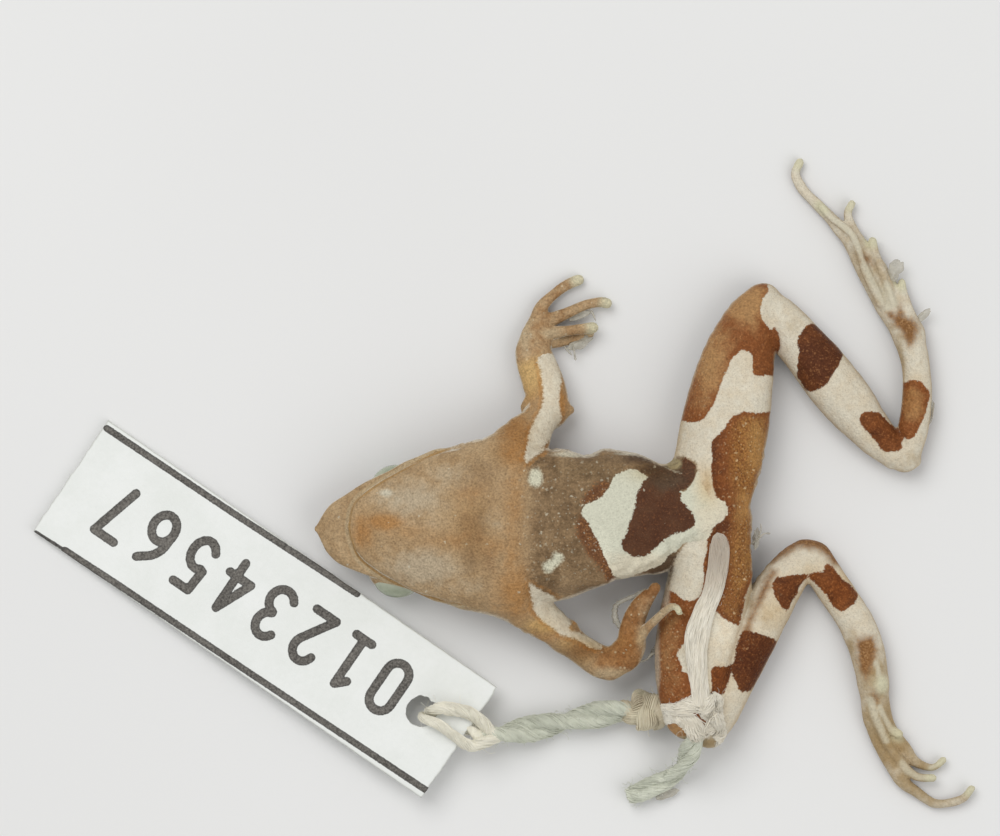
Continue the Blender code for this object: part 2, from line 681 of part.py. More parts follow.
def build_string(cotton):
    """The loop through the tag's hole, the cord, the knot and band at the knee, and two loose ends."""
    tie = [tube("tie_loop", rows) for rows in TIE_STRANDS]
    knot = [ball("knot", (x, y, z), 1.0, (a, b, c), 10, 7) for x, y, z, a, b, c in KNOT_LUMPS]
    made = [
        fuse(tie[0], tie[1:]),
        twisted("cord", CORD, 4, **CORD_STRANDS),
        cut(fuse(knot[0], knot[1:]), [grown_limb("thigh_right")]),
        twisted("cord_tail", TAIL, 2, **TAIL_STRANDS),
        limb("loose_strand", LOOSE_STRAND, STRING_SIDES, 3),
    ]
    fuse(made[2], [band("band")])
    for piece in made:
        piece.data.materials.append(cotton)


def settle_on_origin():
    """The floor stays at z = 0 and the middle of the whole is put over the origin."""
    nodes = list(bpy.context.scene.objects)
    places = np.array([v.co for obj in nodes for v in obj.data.vertices])
    middle = (places.min(axis=0) + places.max(axis=0)) / 2
    for obj in nodes:
        for vertex in obj.data.vertices:
            vertex.co.x -= middle[0]
            vertex.co.y -= middle[1]
        obj.data.shade_smooth()
        obj.data.set_sharp_from_angle(angle=math.radians(50))


def main():
    clear_scene()
    flesh = material("preserved_skin", (0.55, 0.36, 0.22), 0.45)
    gloss = material("clouded_eye", (0.42, 0.47, 0.40), 0.2)
    card = material("tag_card", (0.86, 0.88, 0.85), 0.6)
    cotton = material("cotton_string", (0.80, 0.78, 0.70), 0.8)
    build_head(flesh)
    build_eyes(gloss)
    build_trunk(flesh)
    build_limbs(flesh)
    build_tag(card)
    build_string(cotton)
    settle_on_origin()


main()
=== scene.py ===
"""Looks of a preserved Darwin's frog on its back, with a card tag tied to its right knee.

Everything is in millimetres, in the drawing's frame: x runs from the snout to the hind legs, y to the
frog's left side and z up out of its belly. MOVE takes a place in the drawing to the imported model. The
tables given to millimetres() are in hundredths of a millimetre.
"""

import math

import bpy
import numpy as np
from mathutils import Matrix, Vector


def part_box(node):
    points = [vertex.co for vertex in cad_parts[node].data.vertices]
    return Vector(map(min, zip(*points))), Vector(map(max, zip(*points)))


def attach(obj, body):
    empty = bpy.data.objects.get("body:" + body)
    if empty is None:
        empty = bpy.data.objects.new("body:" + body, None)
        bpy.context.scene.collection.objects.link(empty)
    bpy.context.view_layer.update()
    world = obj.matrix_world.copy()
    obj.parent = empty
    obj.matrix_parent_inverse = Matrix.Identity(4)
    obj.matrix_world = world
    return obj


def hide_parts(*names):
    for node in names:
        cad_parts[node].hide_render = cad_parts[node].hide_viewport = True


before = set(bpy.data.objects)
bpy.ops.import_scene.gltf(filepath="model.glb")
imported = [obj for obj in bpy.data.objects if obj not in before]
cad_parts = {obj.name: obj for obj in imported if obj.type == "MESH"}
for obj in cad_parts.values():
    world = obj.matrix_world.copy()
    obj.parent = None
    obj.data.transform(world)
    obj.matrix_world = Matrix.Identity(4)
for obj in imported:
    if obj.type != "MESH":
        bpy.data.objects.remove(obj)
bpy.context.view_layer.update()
MM = 0.001
SIDES = ("left", "right")
LIMB_KINDS = ("upper_arm", "forearm", "hand", "thigh", "shank", "tarsus", "foot")


def millimetres(table):
    """A table of hundredths of a millimetre, however its rows are nested, as millimetres."""
    if isinstance(table, dict):
        return {name: millimetres(rows) for name, rows in table.items()}
    if isinstance(table, (list, tuple)):
        return type(table)(millimetres(row) for row in table)
    return table / 100


# The drawing's eyes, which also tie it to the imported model
EYES = {"eye_left": (-5.02, -3.36, 1.48), "eye_right": (-4.95, -7.6, 1.48)}
EYE_RADIUS = 1.1
EYE_SHAPE = np.array((1.12, 1.0, 0.8))
LID_INWARD = 0.28
LID_RADII = (1.46, 1.15, 0.92)
EYE_MIDDLE = (np.array(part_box("eye_left")[0]) + np.array(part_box("eye_left")[1])) / 2
MOVE = np.array([EYE_MIDDLE[0] / MM - EYES["eye_left"][0], EYE_MIDDLE[1] / MM - EYES["eye_left"][1], 0.0])

# Grid of the skin
PITCH = 0.118
FIELD_LOW = (-9.3, -19.3, -0.3)
FIELD_HIGH = (23.5, 12.9, 5.5)
REACH = 1.0
EVERY_HEIGHT = (-9.0, 9.0)

# How far one round may move a point onto the skin, and how far yarn may be lifted off it
MOST_SETTLE = 0.08
MOST_LIFT = 1.2
LEAST_STEEP = 0.25

# Head and trunk, one row for each section across x: x, y, half width, widest height, up, down
SKULL = millimetres([
    (-898, -535, 10, 180, 10, 10), (-880, -536, 34, 181, 20, 22), (-862, -538, 66, 182, 28, 34),
    (-830, -542, 114, 188, 42, 58), (-770, -544, 162, 200, 50, 98), (-660, -535, 220, 215, 52, 150),
    (-540, -521, 268, 225, 50, 190), (-430, -517, 316, 232, 50, 212), (-310, -518, 366, 238, 50, 228),
    (-190, -525, 380, 242, 60, 240), (-45, -525, 395, 245, 120, 250), (60, -520, 390, 250, 160, 260),
])
LOWER_JAW = millimetres([
    (-730, -522, 20, 280, 8, 50), (-722, -522, 52, 282, 16, 60), (-707, -522, 98, 285, 30, 70),
    (-663, -524, 156, 292, 46, 80), (-580, -526, 218, 298, 76, 90), (-494, -526, 268, 304, 100, 90),
    (-407, -524, 312, 308, 120, 90), (-320, -522, 344, 314, 133, 90), (-220, -522, 370, 328, 142, 90),
    (-45, -520, 392, 330, 154, 90), (60, -520, 380, 320, 170, 90),
])
TRUNK = millimetres([
    (-160, -524, 326, 270, 180, 230), (-45, -525, 392, 260, 220, 266), (40, -520, 404, 260, 238, 268),
    (120, -520, 398, 260, 242, 270), (160, -520, 380, 260, 233, 270), (220, -520, 372, 260, 238, 270),
    (330, -515, 356, 260, 244, 270), (415, -510, 330, 258, 244, 268), (495, -479, 330, 254, 240, 264),
    (560, -467, 315, 250, 232, 260), (680, -470, 292, 240, 212, 250), (790, -486, 260, 230, 192, 238),
    (900, -460, 218, 216, 176, 224), (1026, -455, 192, 200, 160, 202), (1130, -468, 162, 190, 134, 172),
    (1185, -480, 98, 180, 90, 110), (1212, -490, 46, 175, 45, 50),
])

# Limbs, palms and soles, one row for each section along the limb: x, y, z, half width, half thickness
LIMBS = millimetres({
    "upper_arm_left": [
        (60, -260, 270, 142, 120), (105, -130, 235, 130, 110), (176, -30, 190, 88, 90),
        (235, 55, 135, 86, 86),
    ],
    "forearm_left": [
        (252, 42, 125, 86, 86), (220, 145, 115, 98, 90), (175, 260, 100, 95, 80), (156, 330, 85, 82, 68),
    ],
    "upper_arm_right": [
        (80, -790, 280, 142, 120), (136, -912, 250, 112, 110), (235, -995, 215, 88, 92),
        (305, -1055, 185, 74, 80),
    ],
    "forearm_right": [
        (315, -1065, 180, 72, 78), (410, -1130, 165, 72, 76), (484, -1174, 165, 80, 76),
        (535, -1192, 170, 78, 70),
    ],
    "thigh_left": [
        (1025, -400, 180, 176, 174), (1045, -250, 178, 206, 182), (1084, -58, 168, 213, 174),
        (1120, 136, 158, 198, 164), (1162, 315, 144, 170, 148), (1215, 472, 128, 122, 130),
        (1266, 558, 115, 90, 110),
    ],
    "shank_left": [
        (1300, 536, 115, 88, 100), (1371, 456, 118, 109, 112), (1531, 269, 122, 127, 120),
        (1683, 80, 116, 130, 114), (1755, -12, 106, 112, 102), (1830, -94, 96, 97, 92),
        (1900, -162, 88, 78, 82),
    ],
    "tarsus_left": [
        (1960, -190, 84, 72, 78), (2000, -60, 84, 75, 78), (2022, 87, 80, 72, 74), (2015, 260, 74, 69, 70),
        (1982, 395, 70, 71, 66),
    ],
    "thigh_right": [
        (1020, -540, 182, 190, 178), (1020, -680, 183, 198, 185), (1010, -810, 184, 204, 186),
        (964, -1010, 186, 202, 176), (934, -1200, 192, 188, 156), (920, -1330, 198, 158, 134),
        (916, -1430, 198, 128, 116),
    ],
    "shank_right": [
        (1015, -1515, 140, 78, 92), (1062, -1410, 132, 102, 108), (1146, -1205, 122, 120, 118),
        (1235, -1020, 118, 126, 116), (1340, -835, 110, 112, 106), (1420, -725, 100, 98, 96),
        (1475, -675, 92, 84, 88),
    ],
    "tarsus_right": [
        (1522, -682, 90, 85, 86), (1620, -830, 86, 86, 82), (1720, -980, 82, 88, 78),
        (1780, -1130, 76, 84, 74), (1810, -1290, 72, 72, 70),
    ],
    "hand_left": [
        (155, 315, 80, 76, 62), (180, 400, 66, 80, 56), (202, 475, 56, 54, 46),
    ],
    "hand_right": [
        (530, -1190, 170, 74, 66), (562, -1174, 176, 76, 66), (600, -1146, 190, 82, 62),
        (632, -1095, 210, 74, 56), (636, -1040, 225, 62, 48),
    ],
    "foot_left": [
        (1985, 400, 66, 74, 62), (1895, 550, 48, 76, 45), (1810, 705, 42, 74, 38), (1719, 849, 38, 52, 34),
    ],
    "foot_right": [
        (1808, -1290, 66, 70, 60), (1835, -1460, 48, 70, 42), (1885, -1600, 42, 64, 38),
        (1950, -1725, 40, 46, 36),
    ],
})

# Fingers and toes, one row for each section: x, y, z, radius
DIGITS = millimetres({
    "hand_left": [
        [(182, 470, 58, 40), (195, 526, 50, 33), (236, 578, 44, 28), (294, 626, 36, 26), (342, 654, 32, 26),
         (382, 670, 32, 27)],
        [(205, 460, 58, 40), (240, 474, 56, 34), (315, 504, 60, 29), (410, 546, 60, 26), (482, 562, 50, 26),
         (518, 556, 46, 27)],
        [(200, 405, 70, 38), (266, 414, 84, 30), (339, 424, 88, 26), (450, 438, 76, 27)],
        [(185, 370, 55, 38), (254, 368, 42, 30), (330, 382, 32, 27), (390, 398, 30, 25),
         (436, 410, 30, 23)],
    ],
    "hand_right": [
        [(636, -1100, 215, 40), (662, -1006, 245, 32), (698, -912, 262, 28), (746, -820, 266, 28)],
        [(610, -1090, 210, 40), (616, -1020, 230, 40), (634, -955, 240, 37), (668, -898, 250, 33),
         (706, -850, 256, 25)],
        [(645, -1120, 215, 38), (688, -1038, 272, 28), (762, -960, 344, 23), (815, -912, 390, 19),
         (846, -910, 412, 16), (862, -936, 414, 15)],
        [(600, -1130, 180, 38), (636, -1070, 145, 28), (652, -1010, 124, 27)],
    ],
    "foot_left": [
        [(1730, 835, 46, 44), (1655, 915, 42, 36), (1590, 985, 38, 28), (1529, 1047, 34, 26),
         (1479, 1097, 31, 24), (1443, 1153, 30, 22), (1433, 1194, 30, 20), (1455, 1240, 32, 20)],
        [(1846, 558, 82, 25), (1807, 641, 86, 25), (1768, 725, 88, 22), (1740, 810, 90, 18),
         (1707, 886, 92, 19), (1662, 930, 90, 20), (1607, 969, 88, 20), (1560, 1022, 80, 20)],
        [(1850, 650, 56, 28), (1788, 770, 56, 24), (1754, 836, 50, 22), (1724, 897, 42, 22),
         (1696, 953, 38, 22), (1687, 997, 38, 20), (1706, 1038, 42, 20)],
        [(1905, 560, 74, 27), (1874, 658, 78, 26), (1840, 736, 76, 24), (1815, 808, 64, 21),
         (1806, 858, 56, 20)],
        [(2006, 455, 66, 26), (1978, 530, 72, 24), (1958, 605, 64, 20), (1948, 660, 56, 19)],
    ],
    "foot_right": [
        [(1885, -1630, 46, 44), (1946, -1755, 42, 32), (2022, -1816, 36, 27), (2080, -1856, 32, 25),
         (2112, -1870, 31, 24), (2171, -1868, 30, 21), (2246, -1846, 34, 20), (2286, -1798, 42, 20)],
        [(1802, -1390, 84, 22), (1823, -1465, 88, 24), (1876, -1570, 86, 25), (1930, -1650, 78, 24),
         (1972, -1706, 70, 22), (2029, -1742, 62, 20), (2100, -1746, 56, 20)],
        [(1850, -1420, 58, 30), (1898, -1520, 54, 32), (1965, -1605, 46, 30), (2015, -1668, 40, 24),
         (2098, -1696, 34, 19), (2150, -1660, 36, 19)],
        [(1826, -1340, 82, 20), (1836, -1390, 90, 20), (1860, -1449, 97, 20), (1892, -1506, 102, 20),
         (1932, -1530, 102, 20)],
        [(1812, -1190, 96, 22), (1824, -1246, 108, 17), (1830, -1282, 114, 17), (1846, -1290, 116, 17)],
    ],
})

# The elbows' points and the heels' small tubercles: x, y, z, radius, and how far out along x and y
SPURS = millimetres([
    (138, 62, 120, 34, -20, -4), (146, 34, 125, 36, -16, -12), (255, 42, 135, 44, 86, -3),
    (300, -1045, 185, 48, 45, 42), (1974, -192, 85, 42, 44, -16), (1882, -166, 90, 34, 10, -62),
    (1472, -662, 95, 36, -2, 34),
])
NOSTRILS = [(-7.95, -4.05, 1.45), (-7.95, -6.8, 1.45)]
NOSTRIL_RADIUS = 0.17
EYES_MIDDLE_Y = -5.5

# How softly each part runs into what it grows from, in millimetres, or as a function of x and y
BLENDS = {
    "head": 0.05, "trunk": 0.7, "lid": 0.22, "nostril": 0.08, "forearm": 0.35, "hand": 0.16,
    "shank": 0.14, "tarsus": 0.22, "foot": 0.3, "digit": 0.1, "spur": 0.24,
    "lower_jaw": lambda x, y: 0.2 + smoothstep(x, -3.4, -1.6),
    "upper_arm": lambda x, y: 0.14 + 0.7 * (1 - smoothstep(x, 0.9, 2.0)),
    "thigh_left": lambda x, y: 0.15 + 0.75 * (1 - smoothstep(x, 10.6, 11.6)),
    "thigh_right": lambda x, y: 0.06 + 0.8 * smoothstep(y, -9.0, -7.2) * smoothstep(x, 7.9, 9.2) * (
        1 - 0.8 * smoothstep(x, 10.6, 11.6)
    ),
}


def smooth_rows(rows, steps):
    """Rows read from a smooth curve through the given rows, with steps between each two."""
    rows = np.asarray(rows, float)
    ends = np.vstack([2 * rows[0] - rows[1], rows, 2 * rows[-1] - rows[-2]])
    found = []
    for a, b, c, d in zip(ends, ends[1:], ends[2:], ends[3:]):
        for t in np.arange(steps) / steps:
            found.append(
                0.5 * (2 * b + (c - a) * t + (2 * a - 5 * b + 4 * c - d) * t * t
                       + (3 * b - a - 3 * c + d) * t ** 3)
            )
    found.append(rows[-1])
    return np.array(found)


def smoothstep(value, low, high):
    share = np.clip((value - low) / (high - low), 0.0, 1.0)
    return share * share * (3.0 - 2.0 * share)


def smooth_union(first, second, blend):
    """The union of two shapes given as distances, with a seam this soft."""
    meet = np.maximum(blend - np.abs(first - second), 0.0) / blend
    return np.minimum(first, second) - meet * meet * blend / 4


class SkinField:
    """Distances to the skin on a grid in millimetres, below zero inside the frog."""

    def __init__(self, low, high, pitch):
        self.low = np.array(low)
        self.pitch = pitch
        self.axes = [np.arange(a, b, pitch, dtype=np.float32) for a, b in zip(low, high)]
        self.values = np.full([len(axis) for axis in self.axes], 2 * REACH, np.float32)

    def window(self, low, high):
        """The part of the grid inside a box, and its three coordinates."""
        part = tuple(
            slice(np.searchsorted(axis, a), np.searchsorted(axis, b))
            for axis, a, b in zip(self.axes, low, high)
        )
        x, y, z = (axis[span] for axis, span in zip(self.axes, part))
        return part, (x[:, None, None], y[None, :, None], z[None, None, :])

    def join(self, part, x, y, distance, blend):
        """Joins a shape to part of the grid; blend is a number, or a function of x and y."""
        blend = blend(x, y) if callable(blend) else blend
        self.values[part] = smooth_union(self.values[part], distance, blend)

    def tube(self, rows, blend, steps=3):
        """Joins a tube of oval sections that follows the rows."""
        fine = smooth_rows(rows, steps)
        wide, thick = fine[:, 3], fine[:, -1]
        far = max(wide.max(), thick.max()) + REACH
        part, (x, y, z) = self.window(fine[:, :3].min(axis=0) - far, fine[:, :3].max(axis=0) + far)
        distance = np.float32(np.inf)
        for k in range(len(fine) - 1):
            start, ahead = fine[k, :3], fine[k + 1, :3] - fine[k, :3]
            length = np.linalg.norm(ahead)
            ahead = ahead / length
            side = np.cross(ahead, (0.0, 0.0, 1.0))
            side /= np.linalg.norm(side)
            over = np.cross(side, ahead)
            dx, dy, dz = x - start[0], y - start[1], z - start[2]
            along, aside, above = (dx * way[0] + dy * way[1] + dz * way[2] for way in (ahead, side, over))
            share = np.clip(along / length, 0.0, 1.0)
            half = wide[k] + (wide[k + 1] - wide[k]) * share
            tall = thick[k] + (thick[k + 1] - thick[k]) * share
            past = along - share * length
            found = oval_distance(aside, above, past, half, tall, (half + tall) / 2)
            distance = np.minimum(distance, found)
        self.join(part, x, y, distance, blend)

    def ball(self, place, radii, blend, carved=False):
        """Joins an oval ball to the field, or carves it out."""
        radii = np.broadcast_to(radii, 3)
        place = np.asarray(place)
        part, (x, y, z) = self.window(place - radii - REACH, place + radii + REACH)
        distance = oval_distance(x - place[0], y - place[1], z - place[2], *radii)
        sign = -1 if carved else 1
        self.values[part] = sign * smooth_union(sign * self.values[part], distance, blend)

    def across_x(self, table, flat_up, flat_down, blend):
        """Joins a head or trunk whose sections across x are rounded boxes."""
        fine = smooth_rows(table, 6)
        low = (fine[0, 0] - REACH, (fine[:, 1] - fine[:, 2]).min() - REACH, EVERY_HEIGHT[0])
        high = (fine[-1, 0] + REACH, (fine[:, 1] + fine[:, 2]).max() + REACH, EVERY_HEIGHT[1])
        part, (x, y, z) = self.window(low, high)
        middle, half, wide, up, down = (np.interp(x, fine[:, 0], fine[:, k]) for k in range(1, 6))
        above = z > wide
        tall = np.where(above, up, down)
        power = np.where(above, flat_up, flat_down)
        aside, rise = np.abs(y - middle), np.abs(z - wide)
        ratio = ((aside / half) ** power + (rise / tall) ** power) ** (1 / power)
        distance = (1 - 1 / np.maximum(ratio, 0.2)) * np.hypot(aside, rise)
        slope = np.sqrt(sum(g * g for g in np.gradient(distance, self.pitch)))
        distance = distance / np.clip(slope, 0.6, 4.0)
        past = np.maximum(fine[0, 0] - x, x - fine[-1, 0])
        distance = np.where(past > 0, np.hypot(np.maximum(distance, 0), past), distance)
        self.join(part, x, y, distance.astype(np.float32), blend)

    def at(self, points):
        """The distance and its slope at some points, read between the grid's."""
        place = (points - self.low) / self.pitch
        corner = np.clip(np.floor(place).astype(int), 0, np.array(self.values.shape) - 2)
        share = (place - corner).astype(np.float32)
        value = np.zeros(len(points), np.float32)
        slope = np.zeros((len(points), 3), np.float32)
        for step in np.ndindex(2, 2, 2):
            reading = self.values[tuple((corner + step).T)]
            weights = np.where(np.array(step) == 1, share, 1 - share)
            value += reading * weights.prod(axis=1)
            for k in range(3):
                others = weights[:, (k + 1) % 3] * weights[:, (k + 2) % 3]
                slope[:, k] += reading * others * (1 if step[k] else -1) / self.pitch
        return value, slope


def oval_distance(a, b, c, half_a, half_b, half_c):
    """The distance to an ellipsoid, right near its surface."""
    near = np.sqrt((a / half_a) ** 2 + (b / half_b) ** 2 + (c / half_c) ** 2)
    steep = np.sqrt((a / half_a ** 2) ** 2 + (b / half_b ** 2) ** 2 + (c / half_c ** 2) ** 2)
    return (near * (near - 1) / np.maximum(steep, 1e-3)).astype(np.float32)


def build_field():
    """The whole frog as one field, from the head to the toes."""
    field = SkinField(FIELD_LOW, FIELD_HIGH, PITCH)
    field.across_x(SKULL, 2.6, 2.2, BLENDS["head"])
    field.across_x(LOWER_JAW, 2.2, 3.0, BLENDS["lower_jaw"])
    field.across_x(TRUNK, 2.3, 2.3, BLENDS["trunk"])
    for x, y, z in EYES.values():
        inward = LID_INWARD if y < EYES_MIDDLE_Y else -LID_INWARD
        field.ball((x, y + inward, z), LID_RADII, BLENDS["lid"])
    for place in NOSTRILS:
        field.ball(place, NOSTRIL_RADIUS, BLENDS["nostril"], carved=True)
    for side in SIDES:
        for kind in LIMB_KINDS:
            name = f"{kind}_{side}"
            field.tube(LIMBS[name], BLENDS.get(name, BLENDS.get(kind)))
            for rows in DIGITS.get(name, []):
                field.tube(rows, BLENDS["digit"], 4)
    for x, y, z, radius, out_x, out_y in SPURS:
        field.tube([(x, y, z, radius), (x + out_x, y + out_y, z, radius * 0.5)], BLENDS["spur"])
    field.values = np.maximum(field.values, -field.axes[2][None, None, :])
    return field


def surface_of(field):
    """Points and quads on the field's zero surface, one point for each cell that it crosses."""
    values = field.values
    inside = values < 0
    shape = np.array(values.shape) - 1
    corners = list(np.ndindex(2, 2, 2))

    def shifted(grid, step):
        return grid[tuple(slice(start, start + count) for start, count in zip(step, shape))]

    count = sum(shifted(inside, step).astype(np.int8) for step in corners)
    cells = np.argwhere((count > 0) & (count < 8))
    place = np.zeros((len(cells), 3))
    crossings = np.zeros(len(cells))
    for first in corners:
        for axis in range(3):
            if first[axis]:
                continue
            second = tuple(1 if k == axis else first[k] for k in range(3))
            a = values[tuple((cells + first).T)]
            b = values[tuple((cells + second).T)]
            crossed = (a < 0) != (b < 0)
            share = np.where(crossed, a / np.where(crossed, a - b, 1.0), 0.0)
            point = np.array(first, float) + share[:, None] * (np.arange(3) == axis)
            place += point * crossed[:, None]
            crossings += crossed
    points = field.low + (cells + place / crossings[:, None]) * field.pitch
    number = np.full(shape, -1, np.int64)
    number[tuple(cells.T)] = np.arange(len(cells))
    quads = []
    for axis in range(3):
        b, c = (axis + 1) % 3, (axis + 2) % 3
        here = [slice(1, -1)] * 3
        here[axis] = slice(0, -1)
        there = list(here)
        there[axis] = slice(1, None)
        start, end = inside[tuple(here)], inside[tuple(there)]
        edges = np.argwhere(start != end)
        outward = start[tuple(edges.T)]
        offset = np.array([0 if k == axis else 1 for k in range(3)])
        base = edges + offset
        ring = []
        for step_b, step_c in ((-1, -1), (0, -1), (0, 0), (-1, 0)):
            cell = base.copy()
            cell[:, b] += step_b
            cell[:, c] += step_c
            ring.append(number[tuple(cell.T)])
        quad = np.array(ring).T
        quad[~outward] = quad[~outward][:, ::-1]
        quads.append(quad)
    return points, np.vstack(quads)


def steepness(slope):
    """How steep each slope is, squared and kept off zero."""
    return np.maximum((slope ** 2).sum(axis=1), LEAST_STEEP)


def settled(field, points):
    """The points moved onto the field's zero surface, in three rounds."""
    for _ in range(3):
        value, slope = field.at(points)
        points = points - np.clip(value / steepness(slope), -MOST_SETTLE, MOST_SETTLE)[:, None] * slope
    return points


def arc(x, y, radius_x, radius_y, start, end, count=12):
    """Points on part of an oval, its angles in degrees."""
    turns = np.radians(np.linspace(start, end, count))
    return list(zip(x + radius_x * np.cos(turns), y + radius_y * np.sin(turns)))


class Ripple:
    """Smooth random numbers over space, from -1 to 1."""

    SIDE = 32

    def __init__(self, seed):
        self.table = np.random.default_rng(seed).random((self.SIDE, self.SIDE, self.SIDE)) * 2 - 1

    def at(self, places):
        corner = np.floor(places).astype(int)
        share = places - corner
        share = share * share * (3 - 2 * share)
        total = np.zeros(len(places))
        for step in np.ndindex(2, 2, 2):
            weight = np.where(np.array(step) == 1, share, 1 - share).prod(axis=1)
            total += self.table[tuple(((corner + step) % self.SIDE).T)] * weight
        return total

    def layered(self, places, layers=3):
        return sum(self.at(places * 2.03 ** k + 7.7 * k) * 0.5 ** k for k in range(layers))


def flat_ripple(seed, places, layers):
    """Ripple over places in a plane."""
    return Ripple(seed).layered(np.c_[places, np.zeros(len(places))], layers)


def line_distance(points, line):
    """How far points in a plane lie from a line of straight lengths."""
    line = np.asarray(line, float)
    nearest = np.full(len(points), np.inf)
    for a, b in zip(line, line[1:]):
        way = b - a
        share = np.clip((points - a) @ way / max(way @ way, 1e-9), 0, 1)
        nearest = np.minimum(nearest, np.linalg.norm(points - a - share[:, None] * way, axis=1))
    return nearest


def inside_outline(points, outline, margin=1.0):
    """How far inside a rounded outline the points lie: above zero inside, -margin at the least."""
    outline = np.asarray(outline, float)
    around = np.vstack([outline[-2:], outline, outline[:3]])
    line = smooth_rows(around, 3)[6:-6]
    found = np.full(len(points), -margin)
    near = np.all((points > line.min(axis=0) - margin) & (points < line.max(axis=0) + margin), axis=1)
    here = points[near]
    crossings = np.zeros(len(here), bool)
    for a, b in zip(line, line[1:]):
        spans = (a[1] > here[:, 1]) != (b[1] > here[:, 1])
        rise = b[1] - a[1] if b[1] != a[1] else 1e-9
        crossings ^= spans & (here[:, 0] < a[0] + (here[:, 1] - a[1]) * (b[0] - a[0]) / rise)
    distance = line_distance(here, line)
    found[near] = np.maximum(np.where(crossings, distance, -distance), -margin)
    return found


def soft_spots(points, spots):
    """The strongest of some soft ovals at each point: x, y, radius along x, along y, strength."""
    x, y, radius_x, radius_y, strength = np.array(spots).T[:, :, None]
    away = ((points[:, 0] - x) / radius_x) ** 2 + ((points[:, 1] - y) / radius_y) ** 2
    return (strength * np.exp(-away)).max(axis=0)


def add_object(name, data):
    """An object in the scene that holds a mesh, a light or a camera."""
    made = bpy.data.objects.new(name, data)
    bpy.context.scene.collection.objects.link(made)
    return made


def new_object(name, points, faces, look=None, values=None, edges=()):
    """A mesh object from points in the drawing's frame, with numbers or vectors stored on its points."""
    mesh = bpy.data.meshes.new(name)
    mesh.from_pydata(((np.asarray(points) + MOVE) * MM).tolist(), edges, faces)
    mesh.shade_smooth()
    if look:
        mesh.materials.append(look)
    for key, numbers in (values or {}).items():
        numbers = np.asarray(numbers, np.float32)
        kind, field = ("FLOAT", "value") if numbers.ndim == 1 else ("FLOAT_VECTOR", "vector")
        mesh.attributes.new(key, kind, "POINT").data.foreach_set(field, numbers.ravel())
    return add_object(name, mesh)


def sheet_grid(halves, counts):
    """Points over a rectangle, and the quads between them."""
    us, vs = (np.linspace(-half, half, count + 1) for half, count in zip(halves, counts))
    grid = np.array(np.meshgrid(us, vs, indexing="ij")).reshape(2, -1).T
    number = np.arange(len(grid)).reshape(len(us), len(vs))
    corners = (number[:-1, :-1], number[1:, :-1], number[1:, 1:], number[:-1, 1:])
    return grid, np.stack(corners, axis=-1).reshape(-1, 4)


def closed_sheet(top, bottom, quads):
    """Points and faces of a thin solid between two sheets with the same quads."""
    sides = np.vstack([quads[:, [a, b]] for a, b in ((0, 1), (1, 2), (2, 3), (3, 0))])
    keys = {tuple(pair) for pair in sides.tolist()}
    a, b = np.array([(a, b) for a, b in keys if (b, a) not in keys]).T
    count = len(top)
    walls = np.c_[a, a + count, b + count, b]
    return np.vstack([top, bottom]), np.vstack([quads, quads[:, ::-1] + count, walls])


def turned(u, v, angle):
    """A place u, v turned round the origin."""
    return u * math.cos(angle) - v * math.sin(angle), u * math.sin(angle) + v * math.cos(angle)


def maths(operation, swapped=False):
    """A method of Wire that adds a Math node, or a Vector Math node where either side is a vector."""

    def method(self, other):
        first, second = (other, self) if swapped else (self, other)
        vectors = [isinstance(v, tuple) or getattr(v, "vector", False) for v in (first, second)]
        if not any(vectors):
            return self.nodes.number("ShaderNodeMath", {"operation": operation}, {0: first, 1: second})
        scaled = operation == "MULTIPLY" and not vectors[1]
        settings = {"operation": "SCALE" if scaled else operation}
        inputs = {0: first, "Scale" if scaled else 1: second}
        return self.nodes.arrow("ShaderNodeVectorMath", settings, inputs)

    return method


class Wire:
    """A number or a vector in a tree of nodes; arithmetic on it adds Math nodes."""

    def __init__(self, nodes, socket, vector=False):
        self.nodes, self.socket, self.vector = nodes, socket, vector

    __add__ = maths("ADD")
    __sub__ = maths("SUBTRACT")
    __rsub__ = maths("SUBTRACT", swapped=True)
    __mul__ = maths("MULTIPLY")
    __truediv__ = maths("DIVIDE")
    __pow__ = maths("POWER")
    maximum = maths("MAXIMUM")
    minimum = maths("MINIMUM")

    def apply(self, operation):
        """A Math node of one input, such as SINE."""
        return self.nodes.number("ShaderNodeMath", {"operation": operation}, {0: self})

    def step(self, low, high):
        """From 0 at low to 1 at high, eased at both ends."""
        return self.nodes.number(
            "ShaderNodeMapRange", {"interpolation_type": "SMOOTHSTEP"},
            {"Value": self, "From Min": low, "From Max": high, "To Min": 0.0, "To Max": 1.0},
        )


class Nodes:
    """A tree of nodes whose every node is added through one method."""

    def __init__(self, tree):
        self.tree = tree

    def node(self, kind, settings, inputs):
        made = self.tree.nodes.new(kind)
        for key, value in settings.items():
            setattr(made, key, value)
        names = {s.name: s for s in reversed(made.inputs)} | {s.identifier: s for s in made.inputs}
        for key, value in inputs.items():
            socket = made.inputs[key] if isinstance(key, int) else names[key]
            for each in value if isinstance(value, list) else [value]:
                each = each.socket if isinstance(each, Wire) else each
                if isinstance(each, bpy.types.NodeSocket):
                    self.tree.links.new(each, socket)
                else:
                    socket.default_value = each
        return made

    def number(self, kind, settings, inputs, output=0):
        return Wire(self, self.node(kind, settings, inputs).outputs[output])

    def arrow(self, kind, settings, inputs, output=0):
        return Wire(self, self.node(kind, settings, inputs).outputs[output], vector=True)


# What brings Blender's noise to about -1 to 1
NOISE_GAIN = 2.6


